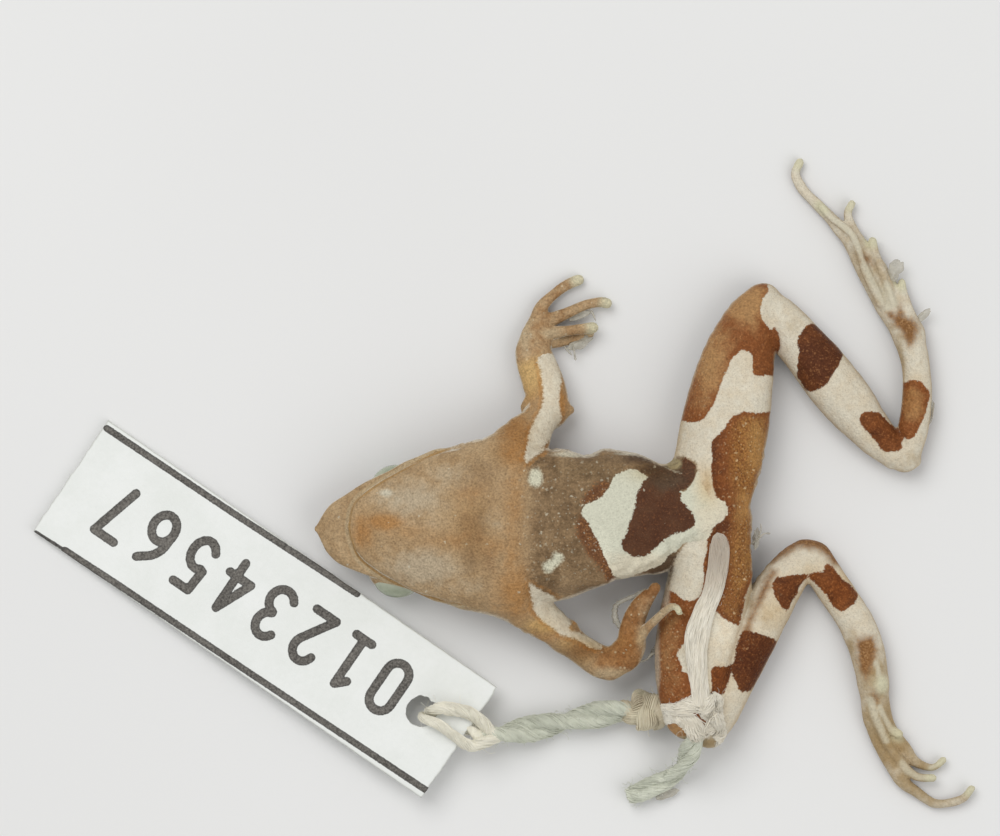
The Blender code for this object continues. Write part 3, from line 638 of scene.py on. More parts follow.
class Finish(Nodes):
    """A material on a Principled shader, with its patterns in millimetres over the object."""

    def __init__(self, name, **constants):
        self.material = bpy.data.materials.new(name)
        self.material.use_nodes = True
        super().__init__(self.material.node_tree)
        shader = self.tree.nodes["Principled BSDF"]
        self.sockets = {s.name.lower().replace(" ", "_"): s for s in shader.inputs}
        for key, value in constants.items():
            self.sockets[key].default_value = value
        self.place = self.arrow("ShaderNodeTexCoord", {}, {}, output=3) * (1 / MM)

    def attribute(self, name):
        return self.number("ShaderNodeAttribute", {"attribute_name": name}, {}, output=2)

    def noise(self, scale, detail=2.0, roughness=0.5):
        """Fractal noise round 0, from about -1 to 1, scale to the millimetre."""
        inputs = {"Vector": self.place, "Scale": scale, "Detail": detail, "Roughness": roughness}
        return (self.number("ShaderNodeTexNoise", {}, inputs) - 0.5) * NOISE_GAIN

    def grains(self, scale):
        """The distance to the nearest of some scattered points, in units of their spacing."""
        return self.number("ShaderNodeTexVoronoi", {}, {"Vector": self.place, "Scale": scale})

    def dots(self, scale, least, most, soft, place=None):
        """Scattered spots seen from above, from 0 to 1, of radii between two shares of their spacing."""
        inputs = {"Vector": place or self.place, "Scale": scale}
        cells = self.node("ShaderNodeTexVoronoi", {"voronoi_dimensions": "2D"}, inputs).outputs
        chance = Wire(self, cells[1]).step(0.25, 0.8)
        return (chance * chance * (most - least) + least - Wire(self, cells[0])).step(0.0, soft)

    def mix(self, share, first, second, blend="MIX"):
        """A colour that goes from the first to the second as share goes from 0 to 1."""
        first, second = ((*c, 1.0) if isinstance(c, tuple) else c for c in (first, second))
        settings = {"data_type": "RGBA", "blend_type": blend}
        inputs = {"Factor_Float": share, "A_Color": first, "B_Color": second}
        return self.node("ShaderNodeMix", settings, inputs).outputs[2]

    def shaded(self, colour, strength):
        """A colour made lighter or darker by a number near 1."""
        inputs = {0: colour, "Scale": strength}
        return self.node("ShaderNodeVectorMath", {"operation": "SCALE"}, inputs).outputs[0]

    def bump(self, height, distance):
        """Relief of a height in millimetres."""
        return self.node("ShaderNodeBump", {}, {"Height": height, "Distance": distance * MM}).outputs[0]

    def put(self, **sockets):
        """Links the shader's sockets and returns the material."""
        for key, value in sockets.items():
            value = value.socket if isinstance(value, Wire) else value
            self.tree.links.new(value, self.sockets[key])
        return self.material


# The markings, as outlines in the plane that the frog lies on, named by marking and place
OUTLINES = millimetres({
    "belly_white": [
        (552, -276), (595, -257), (644, -247), (682, -266), (711, -281), (866, -348), (891, -346),
        (915, -322), (934, -295), (953, -252), (968, -300), (997, -363), (1026, -397), (1046, -386),
        (1072, -404), (1080, -398), (1084, -418), (1098, -426), (1092, -444), (1100, -466), (1082, -466),
        (1070, -490), (1058, -506), (1044, -504), (1021, -537), (997, -581), (939, -595), (881, -603),
        (866, -620), (818, -658), (787, -699), (755, -715), (706, -731), (658, -752), (634, -760),
        (602, -773), (554, -764), (534, -731), (514, -691), (494, -651), (482, -619), (466, -579),
        (441, -547), (425, -507), (409, -484), (393, -474), (392, -442), (401, -419), (450, -398),
        (489, -378), (506, -350), (526, -330), (534, -306),
    ],
    "kidney": [
        (712, -280), (690, -306), (674, -330), (654, -370), (649, -410), (642, -435), (630, -474),
        (614, -515), (604, -555), (579, -595), (582, -619), (598, -639), (634, -659), (658, -665),
        (706, -651), (738, -631), (771, -603), (802, -575), (843, -555), (883, -547), (919, -527),
        (939, -499), (935, -474), (915, -442), (887, -414), (867, -394), (871, -370), (867, -350),
        (891, -346), (915, -322), (931, -298), (940, -266), (940, -222), (915, -206), (880, -190),
        (877, -266), (842, -261), (802, -252), (755, -257),
    ],
    "spots: chest spot upper": [
        (169, -236), (194, -247), (208, -281), (201, -319), (174, -336), (145, -324), (134, -290),
        (143, -252),
    ],
    "spots: chest spot lower": [
        (265, -639), (301, -651), (309, -675), (289, -703), (257, -731), (241, -746), (212, -740),
        (199, -715), (209, -691), (241, -675), (253, -647),
    ],
    "red: belly upper": [
        (513, -300), (537, -319), (518, -358), (484, -392), (445, -407), (402, -411), (402, -378),
        (436, -339), (474, -305),
    ],
    "red: belly lower": [
        (378, -465), (426, -494), (465, -547), (494, -600), (523, -658), (552, -721), (571, -774),
        (537, -789), (499, -755), (465, -707), (426, -649), (387, -590), (368, -532),
    ],
    "white: arm left": [
        (184, 295), (223, 315), (257, 305), (288, 234), (296, 184), (288, 123), (286, 66), (296, 20),
        (294, -12), (269, -60), (235, -106), (206, -140), (213, -155), (194, -169), (160, -189),
        (133, -212), (123, -208), (116, -189), (128, -153), (140, -77), (168, -10), (197, 45), (208, 90),
        (208, 145), (202, 201), (189, 247),
    ],
    "white: arm right": [
        (140, -800), (153, -796), (170, -813), (204, -827), (234, -847), (265, -865), (290, -890),
        (300, -920), (324, -955), (346, -990), (332, -1014), (344, -1030), (370, -1030), (420, -1050),
        (470, -1078), (506, -1112), (460, -1112), (421, -1098), (374, -1072), (333, -1058), (299, -1048),
        (258, -1020), (217, -986), (190, -959), (163, -925), (153, -891), (146, -844),
    ],
    "legs": [
        (953, -260), (945, -220), (918, -200), (880, -184), (850, -186), (820, -165), (774, 571),
        (1258, 862), (1355, 1442), (2468, 1442), (2468, -2042), (581, -2042), (581, -1074), (750, -939),
        (813, -808), (842, -687), (881, -615), (968, -494),
    ],
    "brown: left thigh outer": [
        (1293, 603), (1268, 573), (1261, 544), (1258, 509), (1268, 469), (1288, 450), (1305, 427),
        (1331, 436), (1350, 353), (1341, 281), (1336, 203), (1293, 208), (1258, 203), (1224, 212),
        (1219, 242), (1219, 282), (1209, 311), (1184, 326), (1167, 331), (1140, 306), (1115, 282),
        (1100, 242), (1075, 193), (1056, 134), (1036, 79), (1012, 40), (987, 0), (957, -19), (923, -24),
        (891, -15), (832, -10), (813, 87), (968, 450), (1128, 692), (1280, 690), (1296, 640),
    ],
    "brown: left thigh inner": [
        (1126, 9), (1163, 26), (1183, 33), (1217, 25), (1265, 25), (1299, 31), (1355, 34), (1355, -106),
        (1331, -300), (1283, -397), (1283, -590), (1230, -760), (1190, -840), (1172, -930), (1152, -1000),
        (1132, -991), (1104, -978), (1071, -957), (1044, -923), (1026, -832), (1021, -687), (1026, -590),
        (1026, -547), (1055, -513), (1076, -490), (1090, -460), (1086, -420), (1072, -404), (1061, -405),
        (1041, -381), (1027, -334), (1020, -280), (1017, -232), (1021, -184), (1016, -136), (1024, -106),
        (1041, -90), (1074, -56), (1094, -24),
    ],
    "brown: right thigh": [
        (997, -552), (1045, -508), (1084, -499), (1220, -590), (1202, -760), (1180, -860), (1162, -940),
        (1150, -1020), (1140, -1120), (1112, -1250), (1082, -1330), (1060, -1360), (1045, -1491),
        (736, -1510), (716, -1074), (736, -929), (774, -847), (808, -832), (843, -842), (866, -864),
        (900, -881), (934, -876), (962, -857), (975, -816), (982, -767), (979, -711), (989, -663),
        (999, -629),
    ],
    "notch: right thigh": [
        (949, -1036), (907, -1066), (891, -1079), (874, -1100), (853, -1130), (863, -1161), (874, -1188),
        (880, -1222), (901, -1225), (921, -1270), (953, -1316), (997, -1326), (1021, -1316), (1016, -1205),
        (1064, -1198), (1098, -1198), (1128, -1181), (1138, -1134), (1152, -1066), (1169, -1015),
        (1138, -998), (1104, -981), (1071, -960), (1044, -930), (1016, -924), (983, -978),
    ],
    "brown: left shank upper": [
        (1505, 454), (1536, 450), (1573, 416), (1612, 378), (1641, 344), (1660, 306), (1638, 262),
        (1617, 226), (1595, 195), (1579, 167), (1555, 151), (1530, 136), (1502, 130), (1481, 136),
        (1457, 169), (1436, 203), (1437, 262), (1444, 312), (1435, 361), (1444, 398), (1468, 432),
        (1487, 445),
    ],
    "brown: left shank lower": [
        (1737, 3), (1752, 25), (1783, 31), (1826, 28), (1851, 13), (1876, -15), (1901, -34), (1928, -52),
        (1950, -83), (1944, -121), (1944, -145), (1925, -160), (1894, -164), (1863, -164), (1839, -145),
        (1814, -108), (1783, -77), (1752, -40), (1737, -15),
    ],
    "brown: left tarsus": [
        (1968, 176), (1999, 183), (2036, 176), (2061, 151), (2079, 121), (2076, 83), (2067, 46), (2049, 3),
        (2030, -40), (2009, -83), (1987, -102), (1956, -96), (1931, -58), (1921, 15), (1931, 77),
        (1941, 139), (1951, 169),
    ],
    "soft_brown: left ankle": [
        (1883, 520), (1920, 505), (1940, 550), (1960, 495), (2005, 480), (2022, 430), (2015, 390),
        (1992, 352), (1974, 348), (1960, 385), (1930, 430), (1882, 480),
    ],
    "soft_brown: left sole spot": [
        (1747, 789), (1771, 787), (1800, 760), (1805, 741), (1781, 745), (1757, 765),
    ],
    "brown: right shank lower": [
        (1170, -1031), (1213, -1031), (1250, -1040), (1293, -1056), (1338, -1081), (1323, -1136),
        (1286, -1209), (1250, -1269), (1219, -1314), (1182, -1324), (1157, -1315), (1139, -1271),
        (1118, -1228), (1123, -1185), (1137, -1123), (1152, -1080),
    ],
    "soft_brown: right shank stripe": [
        (1312, -736), (1333, -745), (1307, -801), (1275, -862), (1244, -929), (1215, -992), (1203, -1036),
        (1179, -1036), (1191, -983), (1220, -922), (1251, -854), (1280, -791),
    ],
    "brown: right shank upper": [
        (1336, -769), (1374, -769), (1410, -759), (1448, -756), (1475, -756), (1484, -771), (1460, -802),
        (1429, -858), (1401, -913), (1380, -932), (1358, -907), (1336, -877), (1321, -833), (1318, -796),
    ],
    "soft_brown: right heel rim": [
        (1283, -697), (1326, -629), (1384, -581), (1452, -552), (1558, -571), (1626, -629), (1655, -697),
        (1626, -716), (1596, -697), (1577, -673), (1546, -645), (1497, -633), (1448, -626), (1410, -642),
        (1361, -673), (1324, -697),
    ],
    "brown: right tarsus": [
        (1491, -759), (1522, -747), (1558, -744), (1583, -704), (1620, -734), (1657, -778), (1701, -809),
        (1735, -852), (1728, -877), (1722, -895), (1682, -920), (1657, -935), (1620, -920), (1596, -889),
        (1577, -852), (1540, -815), (1509, -784),
    ],
    "soft_brown: right ankle": [
        (1723, -1074), (1762, -1060), (1800, -1055), (1820, -1079), (1820, -1133), (1815, -1181),
        (1791, -1229), (1771, -1268), (1747, -1229), (1728, -1147),
    ],
    "soft_brown: right sole spot": [
        (1808, -1312), (1820, -1307), (1827, -1331), (1827, -1375), (1815, -1375), (1808, -1346),
    ],
})

# The outlines of each marking
MARKINGS = {}
for name, outline in OUTLINES.items():
    MARKINGS.setdefault(name.partition(":")[0], []).append(outline)

# Soft tints, some of them painted light and shade: x, y, radius along x, radius along y, strength
TINTS = {
    "warm": [
        (-5.5, -5, 1, 0.45, 1.2), (-6.6, -5.5, 0.6, 0.9, 0.8), (-4.4, -5.4, 1.6, 0.6, 0.5),
        (-2.6, -5.9, 2.4, 0.6, 0.45), (-1.4, -3.6, 1.2, 0.6, 0.4), (0.8, -1.2, 1, 1.7, 0.9),
        (0.8, -8.4, 1.2, 1.7, 0.9), (0.7, -4, 0.7, 2.6, 0.6), (0.6, -6.4, 0.7, 2, 0.6),
        (-0.3, -6.2, 1.4, 0.8, 0.5), (1.5, 1.4, 0.8, 1.4, 0.7), (2.2, -10.3, 1.6, 0.8, 0.6),
        (3, 0.8, 0.5, 1, 0.9), (3.6, -4.9, 1.6, 1.2, 0.25), (6.3, -11.3, 1, 1.3, 0.8),
        (5.6, -11.9, 0.9, 0.7, 0.7),
    ],
    "grey": [
        (4.8, -5, 3.4, 3.8, 1), (2.2, -2.8, 0.9, 1.6, 1), (2.2, -7.4, 0.9, 1.8, 1),
        (1.9, -5.2, 0.7, 2.4, 0.7), (7.6, -3, 2.2, 1.4, 0.9), (-0.9, -2.4, 1.3, 0.7, 0.4),
        (-1.4, -6.7, 0.7, 1.2, 0.45), (-0.9, -4.9, 0.7, 0.9, 0.35),
    ],
    "ashen": [
        (-4.2, -3.9, 1.7, 1, 0.9), (-5.5, -3.9, 0.9, 0.6, 0.6), (-2.4, -2.8, 1.3, 0.8, 0.6),
        (-3.6, -7.2, 1.9, 0.9, 1.1), (-1.6, -8, 1.2, 0.6, 0.5), (-0.5, -5, 0.8, 0.7, 0.5),
        (-3.4, -6.4, 1.2, 0.5, 0.4), (2.6, -1.5, 0.8, 0.4, 0.4), (-3.6, -5, 1.6, 0.5, 0.4),
    ],
    "umber": [
        (4.1, -11.2, 1.2, 0.6, 0.8), (-1.45, -5.2, 0.9, 1.6, 0.45), (-0.5, -6.9, 0.5, 1, 0.5),
        (1.4, -0.6, 0.5, 0.5, 0.5), (-1, -5.6, 0.35, 0.8, 0.5), (1.6, -5.3, 0.4, 1, 0.35),
        (-0.8, -3.4, 1.6, 1.6, 0.35), (0.4, -0.6, 0.8, 0.8, 0.35), (5, -11.5, 0.8, 0.3, 0.7),
    ],
    # Painted shade in the folds between the belly and the thighs and along the trunk's edges, partly the
    # skin's own dark brown
    "deep": [
        (7.5, -2.5, 1.2, 0.36, 1), (4.6, -1.9, 2.8, 0.42, 0.55), (7.2, -1.9, 2, 0.5, 1),
        (8.5, -2.6, 1.3, 0.7, 1), (4.4, -8.25, 2.8, 0.42, 0.6), (8.2, -7.2, 1.4, 0.9, 1.3),
        (6.6, -7.9, 1.2, 0.4, 0.8), (5.9, -3.1, 1.6, 0.8, 0.35),
    ],
    # Pale skin; the two thin lines along the trunk's left edge are painted rim light
    "pale": [
        (-5.45, -3.6, 0.42, 0.24, 0.9), (-5, -3.9, 0.7, 0.35, 0.35), (-0.1, -5.1, 0.5, 0.5, 0.3),
        (-4.7, -6.5, 0.3, 0.2, 0.4), (3.5, -1.76, 1.1, 0.16, 1), (6.2, -1.72, 0.9, 0.09, 0.7),
        (3.1, -9.5, 0.5, 0.5, 0.7),
    ],
    "membrane": [(8.4, -2.22, 0.42, 0.34, 1.1)],
    "toasted": [
        (4.1, -11.2, 1.1, 0.7, 1), (6.1, -10.8, 0.8, 0.9, 0.9), (2.2, -10, 0.8, 0.6, 0.4),
        (7.4, -2.6, 1.2, 0.5, 0.8), (0.7, -0.4, 0.9, 1, 0.7), (-1.4, -5.2, 1.1, 1.9, 0.7),
        (0.2, -1.7, 0.8, 0.5, 0.6), (10, -3.2, 0.6, 1, 0.9), (12, -3.2, 0.6, 1.2, 0.4),
        (18.4, -0.7, 0.8, 0.7, 0.6), (19.9, 0.9, 0.7, 1, 0.6), (11.5, -1.5, 0.6, 1.2, 0.4),
        (12.2, -11.6, 1.1, 1.6, 0.8), (13.2, -9.4, 0.9, 0.9, 0.8), (14, -8.3, 0.7, 0.8, 0.6),
        (14.9, -7.5, 0.6, 0.6, 0.6), (16.4, -8.2, 0.8, 0.9, 1), (19.1, -16.2, 1.2, 1.4, 0.4),
        (-6.5, -5.4, 0.6, 1, 0.5), (5.6, -11.6, 0.8, 0.6, 0.6), (10.6, -12.6, 0.6, 0.8, 0.9),
    ],
    # Painted shadow
    "dimmed": [
        (4.1, -11.2, 1.1, 0.7, 0.8), (0.7, -0.4, 0.9, 1, 0.6), (3.9, -2.5, 1.6, 0.5, 0.8),
        (0.2, -1.7, 0.8, 0.5, 0.4), (-1.4, -5.2, 1.1, 1.9, 0.35), (7.4, -2.6, 1.2, 0.5, 0.4),
    ],
    # Painted light
    "lit": [
        (1.4, 2.2, 0.7, 1.2, 0.4), (2.3, 1.6, 0.6, 1.6, 0.4), (12.2, 1.5, 0.8, 1, 0.3),
        (11, -10.4, 0.8, 1.2, 1), (4.9, -6.8, 0.6, 1.2, 0.7), (-4.3, -5.2, 1.2, 0.9, 0.25),
        (17.8, -11.6, 0.5, 0.8, 0.4), (10.6, -12.6, 0.6, 0.8, 0.4),
    ],
    "specked": [
        (4.2, -4.8, 3, 3.6, 1), (1.9, -5, 0.9, 3.2, 0.9), (8, -4.4, 2.2, 1.8, 0.35),
        (11.9, -3, 1.2, 4, 0.9), (11.8, -7.5, 1.2, 3, 0.9), (8.6, -11.4, 1.2, 2.4, 0.8),
        (9.4, 2.6, 0.8, 3, 0.5),
    ],
    "foot": [
        (18, 7.2, 2.2, 3.2, 0.62), (19.3, 4.2, 1.2, 1.6, 0.5), (18.8, -15.2, 2.4, 3, 1),
        (20.8, -17.6, 2.6, 1.6, 1), (18.1, -12.4, 1.2, 1.4, 0.9), (19.9, -1.9, 0.9, 0.6, 0.5),
        (10.1, -15.8, 0.7, 0.5, 1), (12.9, -9.6, 0.8, 0.9, 0.4), (8.9, -15.5, 0.8, 0.4, 0.9),
        (9.95, -3.3, 0.5, 0.8, 0.45), (14.1, 4.4, 0.7, 0.6, 0.45), (12, -8.9, 0.4, 1, 0.6),
        (19.35, 2.7, 0.3, 1.3, 0.9), (17, -11.3, 0.35, 1.3, 0.8),
    ],
    "golden": [
        (1.4, 2.3, 0.8, 1.5, 1), (2.3, -10, 1.3, 0.5, 0.9), (3.4, -10.9, 1, 0.5, 0.6),
    ],
    "dusk": [
        (15.4, 2.9, 1.5, 1.8, 1), (12.3, -11.7, 1.3, 1.7, 1), (13.9, -8.3, 0.9, 0.9, 0.6),
        (18.4, -0.8, 1.1, 0.9, 0.45), (10.7, -12.8, 0.7, 0.9, 0.25), (16.4, -8.2, 0.9, 0.9, 0.35),
        (10.4, -2, 0.5, 2.4, 0.45), (9.9, -1.4, 0.7, 0.9, 0.7), (10.5, -6.6, 0.45, 2.2, 0.8),
        (10.7, -5.3, 0.5, 0.5, 0.6), (11.2, -9.3, 0.6, 0.6, 0.5),
    ],
    "amber": [
        (10.2, 2.6, 1.2, 2.6, 1), (12, 5.5, 1.6, 1.2, 1.2), (8.2, -11, 0.9, 3, 0.55),
        (8.6, -15.1, 0.9, 0.6, 1.2), (20, 0.6, 0.8, 1.4, 0.8), (18, -11.6, 0.8, 0.8, 0.8),
        (16.9, 4, 0.7, 0.5, 0.3),
    ],
    "granular": [
        (12.1, -1.9, 1.1, 3.2, 1), (12, -6.8, 1, 3.6, 1), (11.2, -9.6, 0.8, 1.6, 0.7),
        (12.1, 1.2, 0.8, 1.2, 0.5),
    ],
    "ochre": [
        (12.4, -1.6, 0.8, 2, 0.9), (11.9, -4.2, 0.8, 0.9, 1), (12.1, -6.6, 0.6, 1.6, 0.5),
    ],
    "cream": [
        (10.8, -5, 1.6, 1.8, 1), (7, -7.2, 2.8, 0.9, 1.1), (10, -3, 0.8, 1.4, 0.8),
    ],
    # Painted rim light: a pale strip along the right thigh's edge
    "rimmed": [
        (7.46, -11.8, 0.28, 2.6, 1), (8.02, -8.3, 0.24, 1.2, 0.9), (8.3, -7, 0.2, 0.6, 0.7),
    ],
    # Paler patches on the hands and fingers, and painted rim light along the forearms' edges
    "bleached": [
        (7.9, -9.5, 1, 0.9, 1), (6.9, -10.6, 0.4, 0.9, 0.8), (5.3, -12.3, 1.5, 0.35, 0.8),
        (3.6, 6.7, 0.5, 0.5, 0.5), (1.2, 3.9, 0.35, 1.2, 0.8), (2.6, 4.1, 0.7, 0.4, 0.7),
        (4.6, 5.4, 0.8, 0.4, 0.4),
    ],
    "veil": [(8, -2.95, 1.2, 0.62, 1), (9.1, -2.7, 0.5, 0.7, 0.5)],
}

# Pale lines on the toes and at the groin: half width, and the line that each follows
CRESTS = millimetres([
    (24, [(1878, 540), (1830, 620), (1795, 685), (1770, 735)]),
    (12, [(1770, 735), (1750, 780), (1735, 825)]),
    (17, [(1735, 830), (1707, 886), (1662, 930), (1607, 969), (1560, 1022)]),
    (24, [(1908, 560), (1872, 640)]),
    (16, [(1956, 610), (1948, 660)]),
    (20, [(1795, -1370), (1823, -1463), (1870, -1560)]),
    (13, [(1820, -1180), (1846, -1290)]),
    (16, [(1840, -1400), (1859, -1449), (1891, -1506), (1930, -1530)]),
    (18, [(1950, -1670), (1975, -1710), (2030, -1740), (2100, -1745)]),
    (3.5, [(795, -236), (840, -258), (878, -268)]),
    (12, [(2090, -1695), (2150, -1660)]),
])

# Folds pressed into the skin: depth, half width, and the line that each follows
FOLDS = millimetres([
    (10, 10, [(1316, 500), (1330, 460), (1340, 390), (1342, 330)]),
    (5, 12, [(1580, 160), (1640, 90), (1700, 10), (1760, -70)]),
    (4, 10, [(1660, 240), (1710, 170), (1760, 90)]),
    (10, 10, [(1920, -60), (1945, -90), (1960, -120)]),
    (10, 7, [(1888, 530), (1856, 615), (1824, 710), (1804, 770)]),
    (10, 7, [(1945, 490), (1910, 620), (1880, 690)]),
    (10, 7, [(1845, 563), (1795, 660), (1753, 754)]),
    (8, 7, [(1795, -1460), (1840, -1570), (1910, -1670)]),
    (10, 7, [(1842, -1450), (1890, -1555), (1960, -1650)]),
    (6, 30, [(145, -220), (135, -360), (130, -520), (135, -680), (140, -820)]),
    (10, 14, [(970, -230), (985, -300), (1025, -370)]),
    (8, 14, [(920, -620), (970, -590), (1010, -560)]),
    (10, 10, [(340, -980), (430, -1070), (520, -1120)]),
    (8, 12, [(1155, -1030), (1120, -1160), (1070, -1320)]),
    (-15, 20, [(470, -790), (590, -745), (678, -704), (779, -650), (847, -590), (949, -534)]),
    (-5, 10, [(520, -740), (620, -710), (710, -680), (800, -625)]),
    (8, 12, [(560, -802), (660, -772), (750, -730), (820, -670)]),
])

# Lumpy or wrinkled skin: x, y, radius along x, radius along y, strength
WRINKLES = [
    (1.3, -2, 1, 0.7, 0.9), (1.6, -8.7, 1, 0.8, 1), (-0.6, -1.1, 1.6, 0.5, 0.8), (0.2, -8.9, 1.8, 0.5, 0.8),
    (3.4, -1.5, 2.2, 0.45, 0.8), (12.6, -3.6, 0.7, 3, 1), (12.3, -7.6, 0.7, 2.6, 0.8),
    (10.2, -4.6, 1, 1, 0.9), (8.2, -6.6, 1.8, 0.7, 1), (19.4, -2, 0.7, 0.5, 0.8),
    (2.3, -10.4, 1.4, 0.5, 0.8), (4, -1.6, 2, 0.4, 0.8),
]

# The edge of the lower jaw, seen from above
MOUTH_LINE = millimetres([
    (-242, -150), (-363, -194), (-484, -261), (-624, -348), (-702, -416), (-726, -527), (-707, -615),
    (-673, -682), (-571, -760), (-431, -832), (-295, -876), (-189, -900),
])

# The crumpled edge of the belly's white and other lumps: x, y, radius along x, radius along y, strength
LUMPS = [
    (5, -7.7, 0.7, 0.3, 1), (6.2, -7.3, 0.9, 0.34, 1), (7.3, -6.8, 0.8, 0.36, 1), (8.3, -6.1, 0.7, 0.4, 1),
    (9.2, -5.5, 0.6, 0.4, 0.8), (3.1, -1.55, 1.2, 0.18, 0.8), (1.2, 0.9, 0.4, 0.6, 0.7),
    (10.3, -3.9, 0.5, 0.6, 0.6),
]

# Where the lip's line may lie, and the soft edges of the hands, the right side and the digits' tips
CHEST_CORNERS = [(2.0, -9.0), (2.0, -1.5)]
MOUTH_LOW = 2.2
HAND_EDGE = (0.05, 0.4)
RIGHT_SIDE = (-6.5, -6.0)
TIP_FADE = (0.22, 0.66)

# How far each kind of unevenness stands out from the plain form
HEIGHTS = {"broad": 0.035, "wrinkled": 0.11, "white": 0.03, "crumpled": 0.06, "lumpy": 0.24, "beaded": 0.05}

# What the last tints multiply the skin's colour by: a browner tone, painted shadow and painted light
TONES = {"toasted": (0.93, 0.8, 0.62), "dimmed": (0.8, 0.8, 0.78), "lit": (1.28, 1.28, 1.28)}


def skin_relief(points, upward, markings):
    """How far the mesh stands out from the plain form, in millimetres."""
    flat = points[:, :2]
    broad = Ripple(3).layered(points * 0.9, 2) * HEIGHTS["broad"]
    wrinkled = soft_spots(flat, WRINKLES)
    creased = Ripple(5).layered(points * np.array([2.6, 1.7, 1.7]), 3)
    relief = broad + wrinkled * (np.abs(creased) - 0.3) * HEIGHTS["wrinkled"]
    crumple = 1 - np.abs(Ripple(8).layered(points * 2.4, 3))
    crumpled = HEIGHTS["white"] + HEIGHTS["crumpled"] * (crumple - 0.6)
    relief += smoothstep(markings["belly_white"], -0.05, 0.15) * crumpled * upward
    folded = 1 - np.abs(Ripple(12).layered(points * np.array([2.2, 1.3, 1.3]), 2))
    relief += soft_spots(flat, LUMPS) * (folded - 0.6) * HEIGHTS["lumpy"]
    beaded = Ripple(21).layered(points * 4.2, 1) * np.clip(soft_spots(flat, TINTS["granular"]), 0, 1)
    relief += beaded * HEIGHTS["beaded"] * smoothstep(markings["brown"], -0.1, 0.1)
    for depth, width, line in FOLDS:
        relief -= depth * np.exp(-(line_distance(flat, smooth_rows(line, 4)) / width) ** 2) * upward
    return relief


def tip_closeness(points):
    """From 0 along a finger or toe to 1 on its tip."""
    found = np.zeros(len(points))
    for name, digits in DIGITS.items():
        for rows in {"hand_right": digits[2:3], "hand_left": digits[:3]}.get(name, digits):
            tip = np.array(rows[-1][:3])
            away = np.linalg.norm(points - tip, axis=1)
            found = np.maximum(found, 1 - smoothstep(away, *TIP_FADE))
    return found


def tube_closeness(points, tubes):
    """How far each point lies off the surface of some tubes, whose rows end with a radius."""
    found = np.full(len(points), 9.0)
    for rows in tubes:
        fine = smooth_rows(rows, 3)
        for a, b in zip(fine, fine[1:]):
            way = b[:3] - a[:3]
            share = np.clip((points - a[:3]) @ way / max(way @ way, 1e-9), 0, 1)
            away = np.linalg.norm(points - a[:3] - share[:, None] * way, axis=1)
            found = np.minimum(found, away - (a[3] + (b[3] - a[3]) * share))
    return found


def build_skin(look):
    """One closed skin over the whole frog, with the numbers that its colours are read from."""
    field = build_field()
    points, quads = surface_of(field)
    points = settled(field, points)
    slope = field.at(points)[1]
    outward = slope / np.maximum(np.linalg.norm(slope, axis=1), 1e-6)[:, None]
    upward = np.clip(outward[:, 2], 0, 1)
    flat = points[:, :2]
    values = {
        name: np.max([inside_outline(flat, outline) for outline in outlines], axis=0)
        for name, outlines in MARKINGS.items()
    }
    hands = [rows for hand in ("hand_left", "hand_right") for rows in [LIMBS[hand], *DIGITS[hand]]]
    values["hand"] = 1 - smoothstep(tube_closeness(points, hands), *HAND_EDGE)
    values["right_hand"] = 1 - smoothstep(flat[:, 1], *RIGHT_SIDE)
    for name in ("legs", "brown", "white"):
        values[name] = values[name] - 1.2 * smoothstep(values["hand"], 0.5, 0.95)
    points = points + outward * skin_relief(points, upward, values)[:, None]
    points[:, 2] = np.maximum(points[:, 2], 0.0)
    values |= {name: soft_spots(flat, spots) for name, spots in TINTS.items()}
    mouth = line_distance(flat, smooth_rows(MOUTH_LINE, 4))
    within = inside_outline(flat, MOUTH_LINE + CHEST_CORNERS, 2.0) > 0
    values["mouth"] = np.where(points[:, 2] > MOUTH_LOW, np.where(within, mouth, -mouth), 1.0)
    crest = [1 - smoothstep(line_distance(flat, line) / width, 0.6, 1.3) for width, line in CRESTS]
    values["crest"] = np.max(crest, axis=0) * upward
    values["upward"] = outward[:, 2]
    values["tip"] = tip_closeness(points)
    return new_object("frog_skin", points, quads.tolist(), look, values), field


